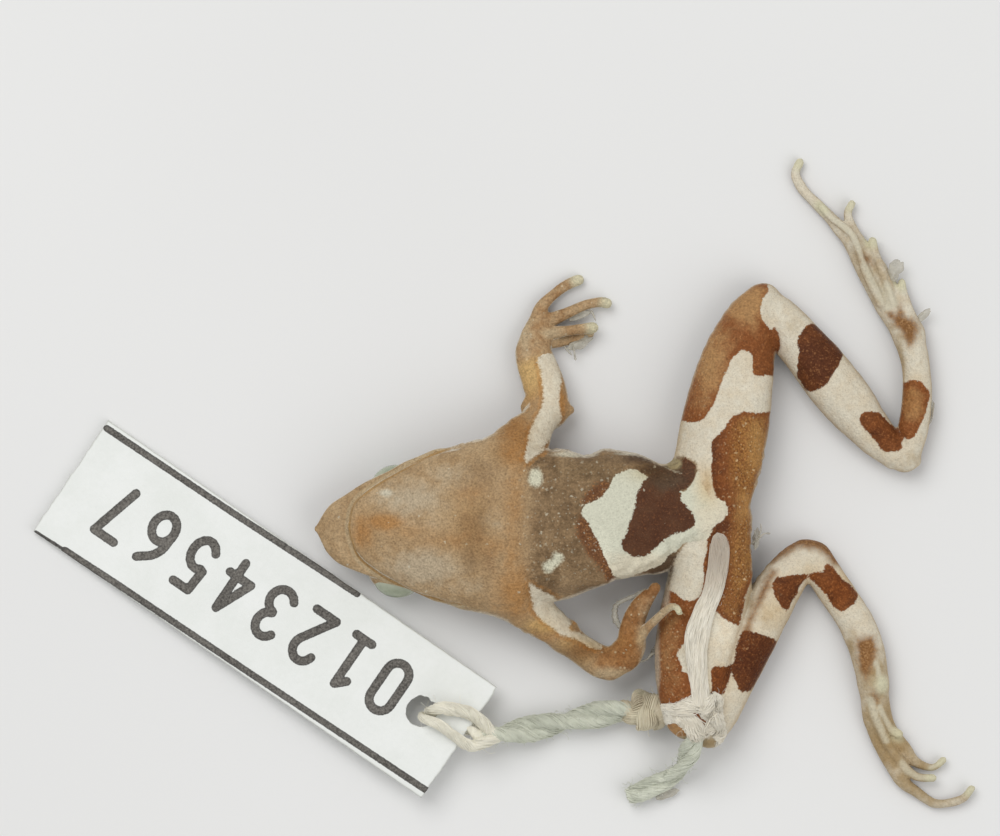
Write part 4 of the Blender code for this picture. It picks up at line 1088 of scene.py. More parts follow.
def skin_look():
    """Preserved skin: mottled tan and grey-brown above white legs, all finely grained and specked."""
    look = Finish("frog_skin_look", roughness=0.5, specular_ior_level=0.07)
    mix, stored = look.mix, look.attribute
    fine = look.noise(10.5, 2.0)
    grit = look.noise(5.5, 2.0)
    middle = look.noise(2.2, 3.0)
    broad = look.noise(0.6, 2.0)
    ragged = fine * 0.07 + grit * 0.05 + middle * 0.04
    upward = stored("upward")
    white = stored("white") + ragged * 1.2

    def over(base, name, spread, low, high, colour, strength=1.0):
        """The base under a soft tint, whose edge the middle noise breaks up."""
        share = (stored(name) + middle * spread).step(low, high)
        return mix(share * strength, base, colour)

    def within(base, name, edge, colour, low=-0.035, high=0.04):
        """The base under a marking with a ragged edge."""
        return mix((stored(name) + edge).step(low, high), base, colour)

    trunk = mix((middle + broad).step(-0.9, 0.9), (0.35, 0.232, 0.122), (0.455, 0.325, 0.187))
    warmth = (stored("warm") + middle * 0.34 + broad * 0.15).step(0.05, 1.0)
    trunk = mix(warmth, trunk, (0.385, 0.205, 0.078))
    trunk = over(trunk, "ashen", 0.28, 0.1, 0.95, (0.44, 0.36, 0.25), 0.85)
    mottled = (middle + broad * 0.6 + grit * 0.4).step(-0.7, 0.8)
    grey = mix(mottled, (0.15, 0.094, 0.048), (0.265, 0.175, 0.093))
    trunk = mix((stored("grey") + middle * 0.16 + broad * 0.1).step(0.12, 0.75), trunk, grey)
    trunk = over(trunk, "golden", 0.12, 0.15, 0.9, (0.5, 0.33, 0.14))
    trunk = over(trunk, "umber", 0.25, 0.1, 0.9, (0.25, 0.145, 0.07), 0.9)
    # Painted shade in the belly's folds and along its edges, partly the skin's own dark brown
    trunk = over(trunk, "deep", 0.2, 0.2, 0.95, (0.1, 0.062, 0.036))
    # Pale skin, with painted rim light in thin lines along the trunk's left edge
    trunk = over(trunk, "pale", 0.2, 0.2, 0.9, (0.56, 0.51, 0.39))
    red = mix((fine + grit * 0.5).step(0.0, 0.8), (0.15, 0.066, 0.029), (0.3, 0.145, 0.054))
    trunk = within(trunk, "red", ragged * 2.4 + middle * 0.16, red, -0.16, 0.14)
    line = white.step(-0.26, -0.14) * (1.0 - white.step(-0.08, 0.0))
    trunk = mix(line * (middle * 0.5 + 0.5).step(0.0, 1.0) * 0.8, trunk, (0.36, 0.165, 0.045))
    cloudy = (middle + broad * 0.8 + grit * 0.25).step(-0.8, 0.8)
    hand = mix(cloudy, (0.31, 0.175, 0.078), (0.44, 0.305, 0.17))
    brown_hand = mix(cloudy, (0.25, 0.115, 0.042), (0.37, 0.205, 0.088))
    hand = mix(stored("right_hand"), hand, brown_hand)
    # Paler patches, partly painted rim light along the forearms' edges
    hand = over(hand, "bleached", 0.2, 0.1, 0.8, (0.44, 0.33, 0.2))
    hand = mix(look.dots(2.6, 0.03, 0.2, 0.12) * 0.6, hand, (0.56, 0.48, 0.33))
    # Painted rim light: the hands turn paler where they face sideways
    hand = mix((1.0 - upward + grit * 0.1).step(0.45, 0.85) * 0.7, hand, (0.5, 0.4, 0.26))
    trunk = mix(stored("hand"), trunk, hand)
    # Painted rim light: the skin turns pale where the head, trunk and arms face sideways
    rim = (1.0 - upward + grit * 0.1).step(0.58, 0.88)
    trunk = mix(rim * 0.9, trunk, (0.62, 0.56, 0.45))

    bone = mix((middle * 0.6 + broad * 0.5).step(-0.5, 0.6), (0.68, 0.63, 0.51), (0.64, 0.555, 0.415))
    legs = over(bone, "foot", 0.25, 0.15, 1.0, (0.375, 0.275, 0.147))
    # Painted light and shade: the white legs turn tan where they face sideways, for light through their thin
    # edges and shade at their sides
    edge = (1.0 - upward + middle * 0.08).step(0.36, 0.86)
    legs = mix(edge * 0.8, legs, (0.5, 0.385, 0.235))
    bister = mix((fine + grit * 0.5).step(-0.3, 0.8), (0.215, 0.1, 0.034), (0.36, 0.205, 0.09))
    legs = within(legs, "soft_brown", ragged + middle * 0.1, bister, -0.26, 0.26)

    depth = (stored("brown") + ragged).minimum(stored("notch") * -1.0 + ragged)
    inner_rim = 1.0 - depth.step(0.06, 0.42)
    tone = stored("amber") * 0.5 - stored("dusk") * 0.48 - inner_rim * 0.1 + middle * 0.2 + 0.46
    rust = mix(tone.step(0.0, 0.5), (0.098, 0.033, 0.014), (0.225, 0.077, 0.024))
    rust = mix(tone.step(0.5, 1.0), rust, (0.385, 0.215, 0.09))
    beads = look.grains(9.5)
    granular = (stored("granular") + middle * 0.15).step(0.15, 0.7) * (1.0 - inner_rim * 0.85)
    between_beads = (beads + grit * 0.35 + middle * 0.3).step(0.0, 0.95)
    beaded = mix(between_beads, (0.4, 0.195, 0.058), (0.19, 0.075, 0.024))
    beaded = over(beaded, "ochre", 0.5, 0.25, 1.0, (0.46, 0.25, 0.085), 0.8)
    rust = mix(granular * (1.0 - stored("dusk") * 0.8), rust, beaded)
    rust = mix((fine + grit * 0.5).step(0.12, 0.8) * 0.26, rust, (0.46, 0.235, 0.09))
    # Painted rim light: the brown patches turn pale tan where they face sideways
    rust = mix((1.0 - upward + fine * 0.05).step(0.6, 0.92) * 0.85, rust, (0.47, 0.38, 0.27))
    legs = mix(depth.step(-0.035, 0.035), legs, rust)
    # Painted rim light along the right thigh's edge
    legs = over(legs, "rimmed", 0.12, 0.2, 0.8, (0.46, 0.375, 0.275), 0.85)

    skin = within(trunk, "legs", ragged, legs, -0.12, 0.12)
    arm_white = mix((grit * 0.5 + middle).step(-0.6, 0.7), (0.585, 0.51, 0.385), (0.65, 0.595, 0.47))
    skin = mix(white.step(-0.06, 0.08), skin, arm_white)
    skin = within(skin, "spots", fine * 0.08 + grit * 0.06, (0.58, 0.56, 0.425), -0.08, 0.2)
    creamy = (stored("cream") + middle * 0.25).step(0.2, 0.9)
    chalk = mix(creamy, (0.625, 0.62, 0.495), (0.69, 0.635, 0.49))
    skin = within(skin, "belly_white", ragged, chalk)
    kidney = mix((middle * 0.5 + broad * 0.6).step(-0.7, 0.9), (0.08, 0.031, 0.016), (0.128, 0.06, 0.03))
    kidney = mix((fine + grit * 0.4 - middle * 0.3).step(0.1, 0.9) * 0.45, kidney, (0.27, 0.11, 0.042))
    kidney = over(kidney, "veil", 0.2, 0.1, 0.9, (0.095, 0.068, 0.044), 0.7)
    skin = within(skin, "kidney", fine * 0.1 + grit * 0.06 + middle * 0.04, kidney)

    back = mix((broad + middle * 0.4).step(-0.3, 0.6), (0.25, 0.155, 0.08), (0.155, 0.088, 0.042))
    back = within(back, "brown", ragged, (0.1, 0.046, 0.022), -0.1, 0.1)
    skin = mix((middle * 0.12 - upward).step(0.0, 0.4), skin, back)

    chalky = stored("belly_white").step(-0.05, 0.05)
    on_legs = stored("legs").step(-0.1, 0.1)
    wandering = {"Vector": look.place, "Scale": 7.0, "Detail": 2.0}
    astray = look.arrow("ShaderNodeTexNoise", {}, wandering, output=1)
    ragged_place = look.place + astray * 0.22
    specks = look.dots(2.3, 0.03, 0.2, 0.16, ragged_place) * stored("specked") * (1.0 - chalky)
    specks = specks.maximum(look.dots(5.2, 0.0, 0.26, 0.14) * stored("specked") * (1.0 - chalky) * 0.5)
    specks = specks.maximum(look.dots(0.8, 0.008, 0.055, 0.03, ragged_place) * (1.0 - on_legs) * 0.8)
    dark = 1.0 - depth.step(-0.05, 0.05) * on_legs
    skin = mix(specks * (0.95 - dark * 0.25), skin, mix(dark, (0.68, 0.52, 0.31), (0.58, 0.54, 0.42)))
    pale = on_legs * dark
    stipple = look.dots(11.0, 0.2, 0.36, 0.2) * (middle * 0.12 + 0.24)
    whites = pale.maximum(white.step(-0.1, 0.1) * 0.6).maximum(chalky * 0.6)
    skin = mix(stipple * whites, skin, (0.22, 0.14, 0.1))
    skin = mix(stored("crest") * (middle * 0.2 + 0.75), skin, (0.6, 0.56, 0.43))
    skin = mix(stored("tip") * 0.85, skin, (0.63, 0.6, 0.42))
    skin = over(skin, "membrane", 0.1, 0.35, 0.75, (0.33, 0.275, 0.155), 0.9)
    # The last tints: a browner tone, then painted shadow and painted light
    for name, tone in TONES.items():
        skin = mix(stored(name), skin, tone, "MULTIPLY")
    lip = stored("mouth") + fine * 0.008
    skin = mix((1.0 - (lip + 0.13).apply("ABSOLUTE").step(0.05, 0.15)) * 0.5, skin, (0.5, 0.4, 0.25))
    skin = mix((1.0 - lip.apply("ABSOLUTE").step(0.015, 0.085)) * 0.8, skin, (0.36, 0.21, 0.075))
    plain = 1.0 - pale.maximum(chalky).maximum(white.step(-0.1, 0.1)) * 0.6
    skin = look.shaded(skin, (fine * 0.42 + grit * 0.18) * plain + 1.0)

    height = fine * 0.5 + grit * 0.5 - beads * 0.9 * granular
    roughness = fine * 0.12 + middle * 0.06 + 0.5
    return look.put(base_color=skin, roughness=roughness, normal=look.bump(height, 0.035))


EYE_RINGS = 40
EYE_AROUND = 64
PUPIL_HALF = (0.42, 0.16)


def eye_look():
    """A preserved eye: clouded grey-green under a wet surface, its pupil hardly to be seen."""
    look = Finish("clouded_eye_look", roughness=0.22, specular_ior_level=0.6, coat_roughness=0.1)
    cloud = look.noise(1.6, 3.0)
    fine = look.noise(11.0, 2.0)
    eye = look.mix((cloud + fine * 0.2).step(-0.8, 0.8), (0.215, 0.25, 0.17), (0.38, 0.41, 0.295))
    eye = look.mix(look.attribute("pupil").step(0.0, 0.9) * 0.55, eye, (0.1, 0.12, 0.1))
    eye = look.mix(look.attribute("rim").step(0.55, 1.0) * 0.7, eye, (0.56, 0.58, 0.46))
    relief = look.bump(fine * 0.4 + cloud, 0.012)
    return look.put(base_color=eye, coat_weight=(cloud * 0.1 + 0.45), normal=relief)


def build_eye(name, look):
    """A ball with the pupil on its outer side."""
    outward = np.array([-0.25, 1.0 if name == "eye_left" else -1.0, 0.12])
    outward /= np.linalg.norm(outward)
    along = np.cross((0.0, 0.0, 1.0), outward)
    along /= np.linalg.norm(along)
    falls = np.linspace(0, math.pi, EYE_RINGS + 1)[1:-1]
    turns = np.arange(EYE_AROUND) * 2 * math.pi / EYE_AROUND
    rings = [
        (math.sin(fall) * math.cos(turn), math.sin(fall) * math.sin(turn), math.cos(fall))
        for fall in falls for turn in turns
    ]
    local = np.array([(0.0, 0.0, 1.0)] + rings + [(0.0, 0.0, -1.0)])
    faces = []
    last_ring = 1 + (len(falls) - 1) * EYE_AROUND
    for k in range(EYE_AROUND):
        after = (k + 1) % EYE_AROUND
        faces.append((0, 1 + k, 1 + after))
        for ring in range(1, last_ring, EYE_AROUND):
            below = ring + EYE_AROUND
            faces.append((ring + k, below + k, below + after, ring + after))
        faces.append((last_ring + k, len(local) - 1, last_ring + after))
    across = np.cross(outward, along)
    points = np.array(EYES[name]) + EYE_RADIUS * local @ (along, across, outward) * EYE_SHAPE
    pupil = 1 - np.hypot(local[:, 0] / PUPIL_HALF[0], local[:, 1] / PUPIL_HALF[1])
    values = {
        "pupil": np.where(local[:, 2] > 0, np.clip(pupil, 0, 1), 0.0),
        "rim": np.hypot(local[:, 0], local[:, 1]),
    }
    return new_object(name + "_ball", points, faces, look, values)


# The card, in its own frame: u along it towards the hole, v across it
CARD_HALF = (11.45, 3.25)
CARD_THICKNESS = 0.35
CARD_MIDDLE = (-11.4, -9.26)
CARD_TURN = math.radians(-34.4)
CARD_TILT = math.radians(2.6)
CARD_CELL = 0.075
CARD_BOW = 0.05
CARD_WORN = 0.03

# The spacing and height of the ripples over the card, round its hole and along its edges
CARD_RIPPLE = (4.0, 0.02)
HOLE_RIPPLE = (0.12, 0.018)
EDGE_RIPPLE = (0.35, 0.004)

# How far in from the card's edges they are ragged, rounded off and darker
RAGGED_WIDTH = 0.2
ROUNDED_WIDTH = 0.15
DARKER_EDGE_WIDTH = 0.12

# The card's hole and tears in its rim: direction in degrees, depth, half width in degrees
HOLE_PLACE = (9.05, 0.2)
HOLE_RADIUS = 0.74
HOLE_TEARS = [(52.0, 0.2, 16.0), (100.0, 0.04, 10.0), (128.0, 0.05, 9.0), (78.0, -0.07, 8.0)]

# The printed rules, each a half width and a line, and the digits' size and places
INK_LINES = [
    (0.17, [(-11.29, 2.89), (-4.0, 2.97), (3.28, 3.14)]),
    (0.17, [(-9.6, -3.13), (-7.0, -3.06), (0.0, -2.98), (11.42, -2.8)]),
    (0.08, [(-11.3, -3.2), (-9.6, -3.13)]),
]
DIGIT_STROKE = 0.225
DIGIT_HEIGHT = 2.8
DIGIT_START = (7.1, 0.3)
DIGIT_END = (-8.45, -0.2)

# Strokes of the digits, in a box one wide and two high
DIGITS_DRAWN = [
    [arc(0.5, 1.5, 0.42, 0.42, 0, 180) + arc(0.5, 0.5, 0.42, 0.42, 180, 360) + [(0.92, 1.5)]],
    [[(0.22, 1.62), (0.55, 1.92), (0.55, 0.08)], [(0.22, 0.08), (0.88, 0.08)]],
    [arc(0.5, 1.48, 0.4, 0.44, 165, -35) + [(0.08, 0.08), (0.92, 0.08)]],
    [arc(0.46, 1.46, 0.4, 0.44, 150, -80) + arc(0.46, 0.54, 0.44, 0.46, 80, -150)],
    [[(0.66, 0.08), (0.66, 1.92), (0.06, 0.62), (0.96, 0.62)]],
    [[(0.84, 1.92), (0.2, 1.92), (0.14, 1.12)] + arc(0.46, 0.62, 0.42, 0.54, 120, -150)],
    [[(0.76, 1.92)] + arc(0.9, 0.95, 0.8, 0.9, 130, 175) + arc(0.5, 0.58, 0.42, 0.5, 180, -180, 20)],
    [[(0.08, 1.92), (0.92, 1.92), (0.4, 0.08)]],
]


def card_ink(places):
    """How far inside the printed digits and border lines each place is, in millimetres."""
    found = np.full(len(places), -1.0)
    scale = DIGIT_HEIGHT / 2.0
    for k, strokes in enumerate(DIGITS_DRAWN):
        share = k / (len(DIGITS_DRAWN) - 1)
        middle = np.array(DIGIT_START) * (1 - share) + np.array(DIGIT_END) * share
        for stroke in strokes:
            line = middle - (np.array(stroke) - (0.5, 1.0)) * (scale * 0.96, scale)
            found = np.maximum(found, DIGIT_STROKE - line_distance(places, line))
    for half, line in INK_LINES:
        found = np.maximum(found, half - line_distance(places, line))
    return found


def build_card(look):
    """A worn card with a torn hole, as one closed sheet whose print is stored on its points."""
    grid, quads = sheet_grid(CARD_HALF, [int(2 * half / CARD_CELL) for half in CARD_HALF])
    from_hole = grid - HOLE_PLACE
    angle = np.arctan2(from_hole[:, 1], from_hole[:, 0])
    radius = np.full(len(grid), HOLE_RADIUS)
    for place, depth, width in HOLE_TEARS:
        apart = np.degrees(np.abs((angle - math.radians(place) + math.pi) % (2 * math.pi) - math.pi))
        radius = radius + depth * np.exp(-(apart / width) ** 2)
    radius = radius + flat_ripple(21, from_hole / HOLE_RIPPLE[0], 2) * HOLE_RIPPLE[1]
    away = np.linalg.norm(from_hole, axis=1)
    inside = away < radius
    outward = (radius[inside] / np.maximum(away[inside], 1e-6))[:, None]
    grid[inside] = HOLE_PLACE + from_hole[inside] * outward
    quads = quads[~inside[quads].all(axis=1)]
    used = np.unique(quads)
    renumber = np.full(len(grid), -1)
    renumber[used] = np.arange(len(used))
    grid, quads = grid[used], renumber[quads]

    edge = np.min(CARD_HALF - np.abs(grid), axis=1)
    rough = EDGE_RIPPLE[1] * (0.5 + flat_ripple(22, grid / EDGE_RIPPLE[0], 3)[:, None])
    at_edge = np.clip(1 - edge / RAGGED_WIDTH, 0, 1)[:, None]
    grid = grid * (1 - rough * at_edge * (np.abs(grid) / CARD_HALF) ** 6)
    rippled = flat_ripple(23, grid / CARD_RIPPLE[0], 2) * CARD_RIPPLE[1]
    bow = CARD_BOW * (grid[:, 0] / CARD_HALF[0]) ** 2 + rippled
    worn = -CARD_WORN * np.clip(1 - edge / ROUNDED_WIDTH, 0, 1) ** 2
    local, faces = closed_sheet(np.c_[grid, CARD_THICKNESS + bow + worn], np.c_[grid, bow], quads)
    u, v, rise = local.T
    x, y = turned(u, v, CARD_TURN)
    placed = np.c_[CARD_MIDDLE[0] + x, CARD_MIDDLE[1] + y, rise + (u + CARD_HALF[0]) * math.sin(CARD_TILT)]
    values = {
        "ink": np.r_[card_ink(grid), np.full(len(grid), -1.0)],
        "wear": np.r_[np.clip(1 - edge / DARKER_EDGE_WIDTH, 0, 1), np.zeros(len(grid))],
    }
    return new_object("card", placed, faces.tolist(), look, values)


def card_look():
    """White card with soft grey fibres, and ink that sank in unevenly with darker rims."""
    look = Finish("tag_card_look", roughness=0.62, specular_ior_level=0.35)
    fine = look.noise(16.0, 2.0)
    broad = look.noise(0.5, 3.0)
    pulp = look.noise(4.0, 3.0)
    paper = look.mix((broad + pulp * 0.3).step(-0.9, 0.9), (0.78, 0.8, 0.765), (0.84, 0.855, 0.83))
    # Darker towards the card's edges
    paper = look.mix((look.attribute("wear") + pulp * 0.2).step(0.2, 1.1), paper, (0.6, 0.61, 0.56))
    specks = (0.1 - look.grains(1.6)).step(0.0, 0.05) * look.noise(0.8, 1.0).step(0.2, 0.6)
    paper = look.mix(specks * 0.5, paper, (0.5, 0.48, 0.42))
    depth = look.attribute("ink") + fine * 0.018 + pulp * 0.012
    stamped = look.noise(9.0, 3.0, roughness=0.7)
    fade = (stamped + broad * 0.25).step(-0.75, 0.9)
    ink = look.mix(fade, (0.03, 0.026, 0.022), (0.165, 0.145, 0.12))
    rim = depth.step(-0.01, 0.03) * (1.0 - depth.step(0.04, 0.09))
    ink = look.mix(rim * 0.8, ink, (0.03, 0.027, 0.024))
    colour = look.mix(depth.step(-0.018, 0.022) * (1.0 - fade * 0.12), paper, ink)
    return look.put(
        base_color=colour,
        roughness=(fine * 0.06 + 0.64),
        normal=look.bump(pulp * 0.6 + fine * 0.3, 0.01),
    )


# What the yarn's nodes are given where a piece says nothing else
YARN_USUAL = {
    "plies": 2, "fibres": 96, "points": 48, "ply_reach": 0.46, "fibre_reach": 0.52, "phase": 0.05,
    "turns": 1.0, "fibre_turns": 1.5, "thickness": 0.024 * MM, "core": 7.0, "waviness": 0.09 * MM,
    "start_fray": 0.0, "end_fray": 0.0, "hairs": 60, "hair_length": 0.5 * MM, "seed": 1,
}
GOLDEN_TURN = 2.39996
FRAY_POWER = 1.6
HAIR_ROOT = 0.8
HAIR_THINNESS = 0.4
HAIR_BEND = {"Start": (0.0, 0.0, 0.0), "Middle": (0.35, 0.1, 0.65), "End": (1.0, 0.45, 0.45)}
FULL_TURN = 2 * math.pi

# Where along y the loose strands begin to turn clear, and where they are clearest
CLEARER = (-9.4, -6.6)
FLOOR_GAP = 0.01


def yarn_tree():
    """Nodes that lay fibres along a line, twist them into plies and let some hairs stray."""
    tree = bpy.data.node_groups.new("twisted_yarn", "GeometryNodeTree")
    kinds = {float: "Float", int: "Int"}
    sockets = [("Geometry", "Geometry")] + [(name, kinds[type(usual)]) for name, usual in YARN_USUAL.items()]
    for name, kind in sockets + [("look", "Material")]:
        tree.interface.new_socket(name, in_out="INPUT", socket_type="NodeSocket" + kind)
    tree.interface.new_socket("Geometry", in_out="OUTPUT", socket_type="NodeSocketGeometry")
    nodes = Nodes(tree)
    given = nodes.node("NodeGroupInput", {}, {}).outputs

    def setting(name):
        return Wire(nodes, given[name])

    def shape(kind, inputs, **settings):
        return nodes.node("GeometryNode" + kind, settings, inputs).outputs[0]

    def stored(name, kind="FLOAT"):
        socket = shape("InputNamedAttribute", {"Name": name}, data_type=kind)
        return Wire(nodes, socket, kind == "FLOAT_VECTOR")

    def chance(low, high, key, channel):
        inputs = {"Min_001": low, "Max_001": high, "ID": key, "Seed": setting("seed") + channel}
        return nodes.number("FunctionNodeRandomValue", {"data_type": "FLOAT"}, inputs, output=1)

    def tube(curve, corners, radius):
        ring = shape("CurvePrimitiveCircle", {"Resolution": corners, "Radius": 1.0}, mode="RADIUS")
        inputs = {"Curve": curve, "Profile Curve": ring, "Scale": radius, "Fill Caps": True}
        return shape("CurveToMesh", inputs)

    plies, fibres, ply_reach, thickness = map(setting, ("plies", "fibres", "ply_reach", "thickness"))
    line = shape("MeshToCurve", {"Mesh": given["Geometry"]})
    line = shape("ResampleCurve", {"Curve": line, "Count": given["points"]})
    side = stored("side", "FLOAT_VECTOR")
    ahead = nodes.arrow("GeometryNodeInputTangent", {}, {})
    over = nodes.arrow("ShaderNodeVectorMath", {"operation": "CROSS_PRODUCT"}, {0: ahead, 1: side})
    line = shape(
        "StoreNamedAttribute", {"Geometry": line, "Name": "over", "Value": over},
        data_type="FLOAT_VECTOR", domain="POINT",
    )
    side_reach = side * stored("wide")
    over_reach = stored("over", "FLOAT_VECTOR") * stored("thick")

    copies = nodes.node(
        "GeometryNodeDuplicateElements", {"domain": "SPLINE"}, {"Geometry": line, "Amount": plies * fibres},
    ).outputs
    strands = shape(
        "StoreNamedAttribute", {"Geometry": copies[0], "Name": "strand", "Value": copies[1]},
        data_type="INT", domain="CURVE",
    )
    strand = stored("strand", "INT")
    ply = ((strand + 0.5) / fibres).apply("FLOOR")
    fibre = strand - ply * fibres
    share = nodes.number("GeometryNodeSplineParameter", {}, {})
    ply_turn = (ply / plies + setting("phase") + share * setting("turns")) * FULL_TURN
    reach = ((fibre + 0.5) / fibres) ** 0.5
    fibre_turn = fibre * GOLDEN_TURN + ply_turn + share * setting("fibre_turns") * FULL_TURN
    fibre_reach = reach * setting("fibre_reach")
    across = ply_turn.apply("COSINE") * ply_reach + fibre_turn.apply("COSINE") * fibre_reach
    upward = ply_turn.apply("SINE") * ply_reach + fibre_turn.apply("SINE") * fibre_reach
    apart = {0: share * 9.0, 1: strand * 3.17, 2: setting("seed") * 5.3}
    place = nodes.arrow("ShaderNodeCombineXYZ", {}, apart)
    wander = nodes.arrow("ShaderNodeTexNoise", {}, {"Vector": place, "Scale": 1.0, "Detail": 1.0}, output=1)
    offset = side_reach * across + over_reach * upward + (wander - (0.5, 0.5, 0.5)) * setting("waviness")
    strands = shape("SetPosition", {"Geometry": strands, "Offset": offset})
    start = chance(0.0, 1.0, strand, 1) ** FRAY_POWER * setting("start_fray")
    end = 1.0 - chance(0.0, 1.0, strand, 2) ** FRAY_POWER * setting("end_fray")
    strands = shape("TrimCurve", {"Curve": strands, "Start": start, "End": end}, mode="FACTOR")
    swelling = ((1.0 - reach) ** 1.5 * (setting("core") - 1.0) + 1.0) * chance(0.75, 1.25, strand, 3)
    body = tube(strands, 4, swelling * thickness)

    spots = shape("CurveToPoints", {"Curve": line, "Count": given["hairs"]}, mode="COUNT")
    key = nodes.number("GeometryNodeInputIndex", {}, {})
    turn = chance(0.0, FULL_TURN, key, 4)
    outward = side_reach * turn.apply("COSINE") + over_reach * turn.apply("SINE")
    spots = shape("SetPosition", {"Geometry": spots, "Offset": outward * HAIR_ROOT})
    angles = {axis: chance(0.0, FULL_TURN, key, 5 + axis) for axis in range(3)}
    euler = nodes.arrow("ShaderNodeCombineXYZ", {}, angles)
    hairs = shape("InstanceOnPoints", {
        "Points": spots, "Instance": shape("CurveQuadraticBezier", HAIR_BEND | {"Resolution": 8}),
        "Rotation": nodes.arrow("FunctionNodeEulerToRotation", {}, {"Euler": euler}),
        "Scale": chance(0.25, 1.0, key, 8) * setting("hair_length"),
    })
    hairs = tube(shape("RealizeInstances", {"Geometry": hairs}), 3, thickness * HAIR_THINNESS)

    whole = shape("JoinGeometry", {"Geometry": [hairs, body]})
    whole = shape("SetShadeSmooth", {"Geometry": whole})
    whole = shape("RealizeInstances", {"Geometry": whole})
    whole = shape("SetMaterial", {"Geometry": whole, "Material": given["look"]})
    nodes.node("NodeGroupOutput", {}, {"Geometry": whole})
    return tree


def sides_along(line, first):
    """A sideways direction at each point of a line that never twists round it."""
    ahead = np.gradient(line, axis=0)
    ahead /= np.linalg.norm(ahead, axis=1)[:, None]
    sides = []
    side = np.asarray(first, float)
    for way in ahead:
        side = side - way * (side @ way)
        side = side / np.linalg.norm(side)
        sides.append(side)
    return np.array(sides)


def spun(name, lines, look, tree, field, lift=None, **settings):
    """Yarn along some lines of x, y, z, half width, half thickness, kept clear of the skin and floor."""
    points, edges, wide, thick, side = [], [], [], [], []
    for rows in lines:
        fine = smooth_rows(rows, 6)
        edges += [(len(points) + k, len(points) + k + 1) for k in range(len(fine) - 1)]
        points += fine[:, :3].tolist()
        wide += fine[:, 3].tolist()
        thick += fine[:, -1].tolist()
        ahead = fine[1, :3] - fine[0, :3]
        side += sides_along(fine[:, :3], np.cross((0.0, 0.0, 1.0), ahead) + (1e-6, 0, 0)).tolist()
    values = {"wide": np.float32(wide) * MM, "thick": np.float32(thick) * MM, "side": side}
    made = new_object(name, points, [], None, values, edges)
    modifier = made.modifiers.new("yarn", "NODES")
    modifier.node_group = tree
    settings = YARN_USUAL | settings | {"look": look}
    for item in tree.interface.items_tree:
        if item.name in settings:
            modifier[item.identifier] = settings[item.name]
    mesh = bpy.data.meshes.new_from_object(made.evaluated_get(bpy.context.evaluated_depsgraph_get()))
    made.modifiers.clear()
    made.data = mesh
    places = np.zeros(len(mesh.vertices) * 3, np.float32)
    mesh.vertices.foreach_get("co", places)
    places = places.reshape(-1, 3).astype(float) / MM - MOVE
    if lift is not None:
        value, slope = field.at(places)
        places += slope * (np.clip(lift - value, 0, MOST_LIFT) / steepness(slope))[:, None]
    places[:, 2] = np.maximum(places[:, 2], FLOOR_GAP)
    mesh.vertices.foreach_set("co", ((places + MOVE) * MM).astype(np.float32).ravel())
    mesh.update()
    return made


def height_on(field, x, y):
    """The height of the skin at a place seen from above, or of the floor beside it."""
    heights = np.arange(FIELD_HIGH[2] - 0.2, 0.0, -0.04)
    found = field.at(np.c_[np.full(len(heights), x), np.full(len(heights), y), heights])[0]
    covered = np.nonzero(found < 0)[0]
    return heights[covered[0]] if len(covered) else 0.0


def laid(field, rows, rise):
    """Rows of x, y, half width and half thickness laid on the skin, their middle that far above it."""
    return [(x, y, height_on(field, x, y) + rise, wide, thick) for x, y, wide, thick in rows]


def cotton_look(name, light, dark, alpha=1.0, clear=1.0):
    """Soft cotton fibres, in patches a little lighter or darker, and clearer at the loose loop's top."""
    look = Finish(name, roughness=0.85, specular_ior_level=0.2)
    fine = look.noise(9.0, 2.0)
    broad = look.noise(1.1, 2.0)
    colour = look.mix((fine * 0.35 + broad * 0.7).step(-0.9, 0.9), dark, light)
    settings = {"operation": "DOT_PRODUCT"}
    along_y = look.number("ShaderNodeVectorMath", settings, {0: look.place, 1: (0.0, 1.0, 0.0)}, output=1)
    top = (along_y - float(MOVE[1])).step(*CLEARER)
    colour = look.mix(top * 0.42, colour, (0.55, 0.41, 0.3))
    return look.put(base_color=colour, roughness=(fine * 0.08 + 0.86), alpha=(top * (clear - alpha) + alpha))


# The string: x, y, z, half width, half thickness
LOOP_UPPER = millimetres([
    (-330, -1430, 70, 30, 26), (-316, -1406, 160, 32, 24), (-290, -1390, 198, 36, 22),
    (-250, -1388, 204, 44, 20), (-206, -1395, 206, 44, 20), (-146, -1424, 198, 42, 24),
    (-100, -1476, 170, 36, 30), (-60, -1526, 140, 34, 32), (-10, -1540, 120, 26, 28),
])
LOOP_LOWER = millimetres([
    (-360, -1456, 70, 30, 26), (-354, -1452, 150, 32, 24), (-324, -1458, 198, 36, 22),
    (-280, -1476, 204, 42, 20), (-226, -1522, 206, 43, 20), (-180, -1570, 190, 42, 26),
    (-136, -1600, 166, 38, 30), (-86, -1584, 148, 36, 32), (-36, -1558, 130, 32, 30),
    (-6, -1546, 90, 20, 20),
])
LOOP_BELOW = millimetres([
    (-360, -1430, 90, 26, 22), (-350, -1440, 42, 30, 20), (-270, -1464, 30, 36, 18),
    (-160, -1506, 34, 36, 22), (-90, -1530, 66, 36, 28), (-40, -1538, 110, 36, 34),
])
LOOP_FILL = millimetres([
    (-156, -1506, 130, 12, 12), (-116, -1522, 142, 30, 22), (-60, -1536, 140, 38, 30),
    (-10, -1542, 125, 30, 28),
])
CORD_LINE = millimetres([
    (-98, -1530, 134, 24, 22), (-74, -1536, 134, 44, 36), (-40, -1540, 128, 55, 46),
    (25, -1530, 104, 60, 54), (110, -1514, 82, 64, 60), (210, -1494, 72, 65, 62), (340, -1466, 70, 64, 62),
    (450, -1442, 80, 65, 60), (555, -1422, 105, 64, 56), (640, -1410, 120, 56, 50),
])
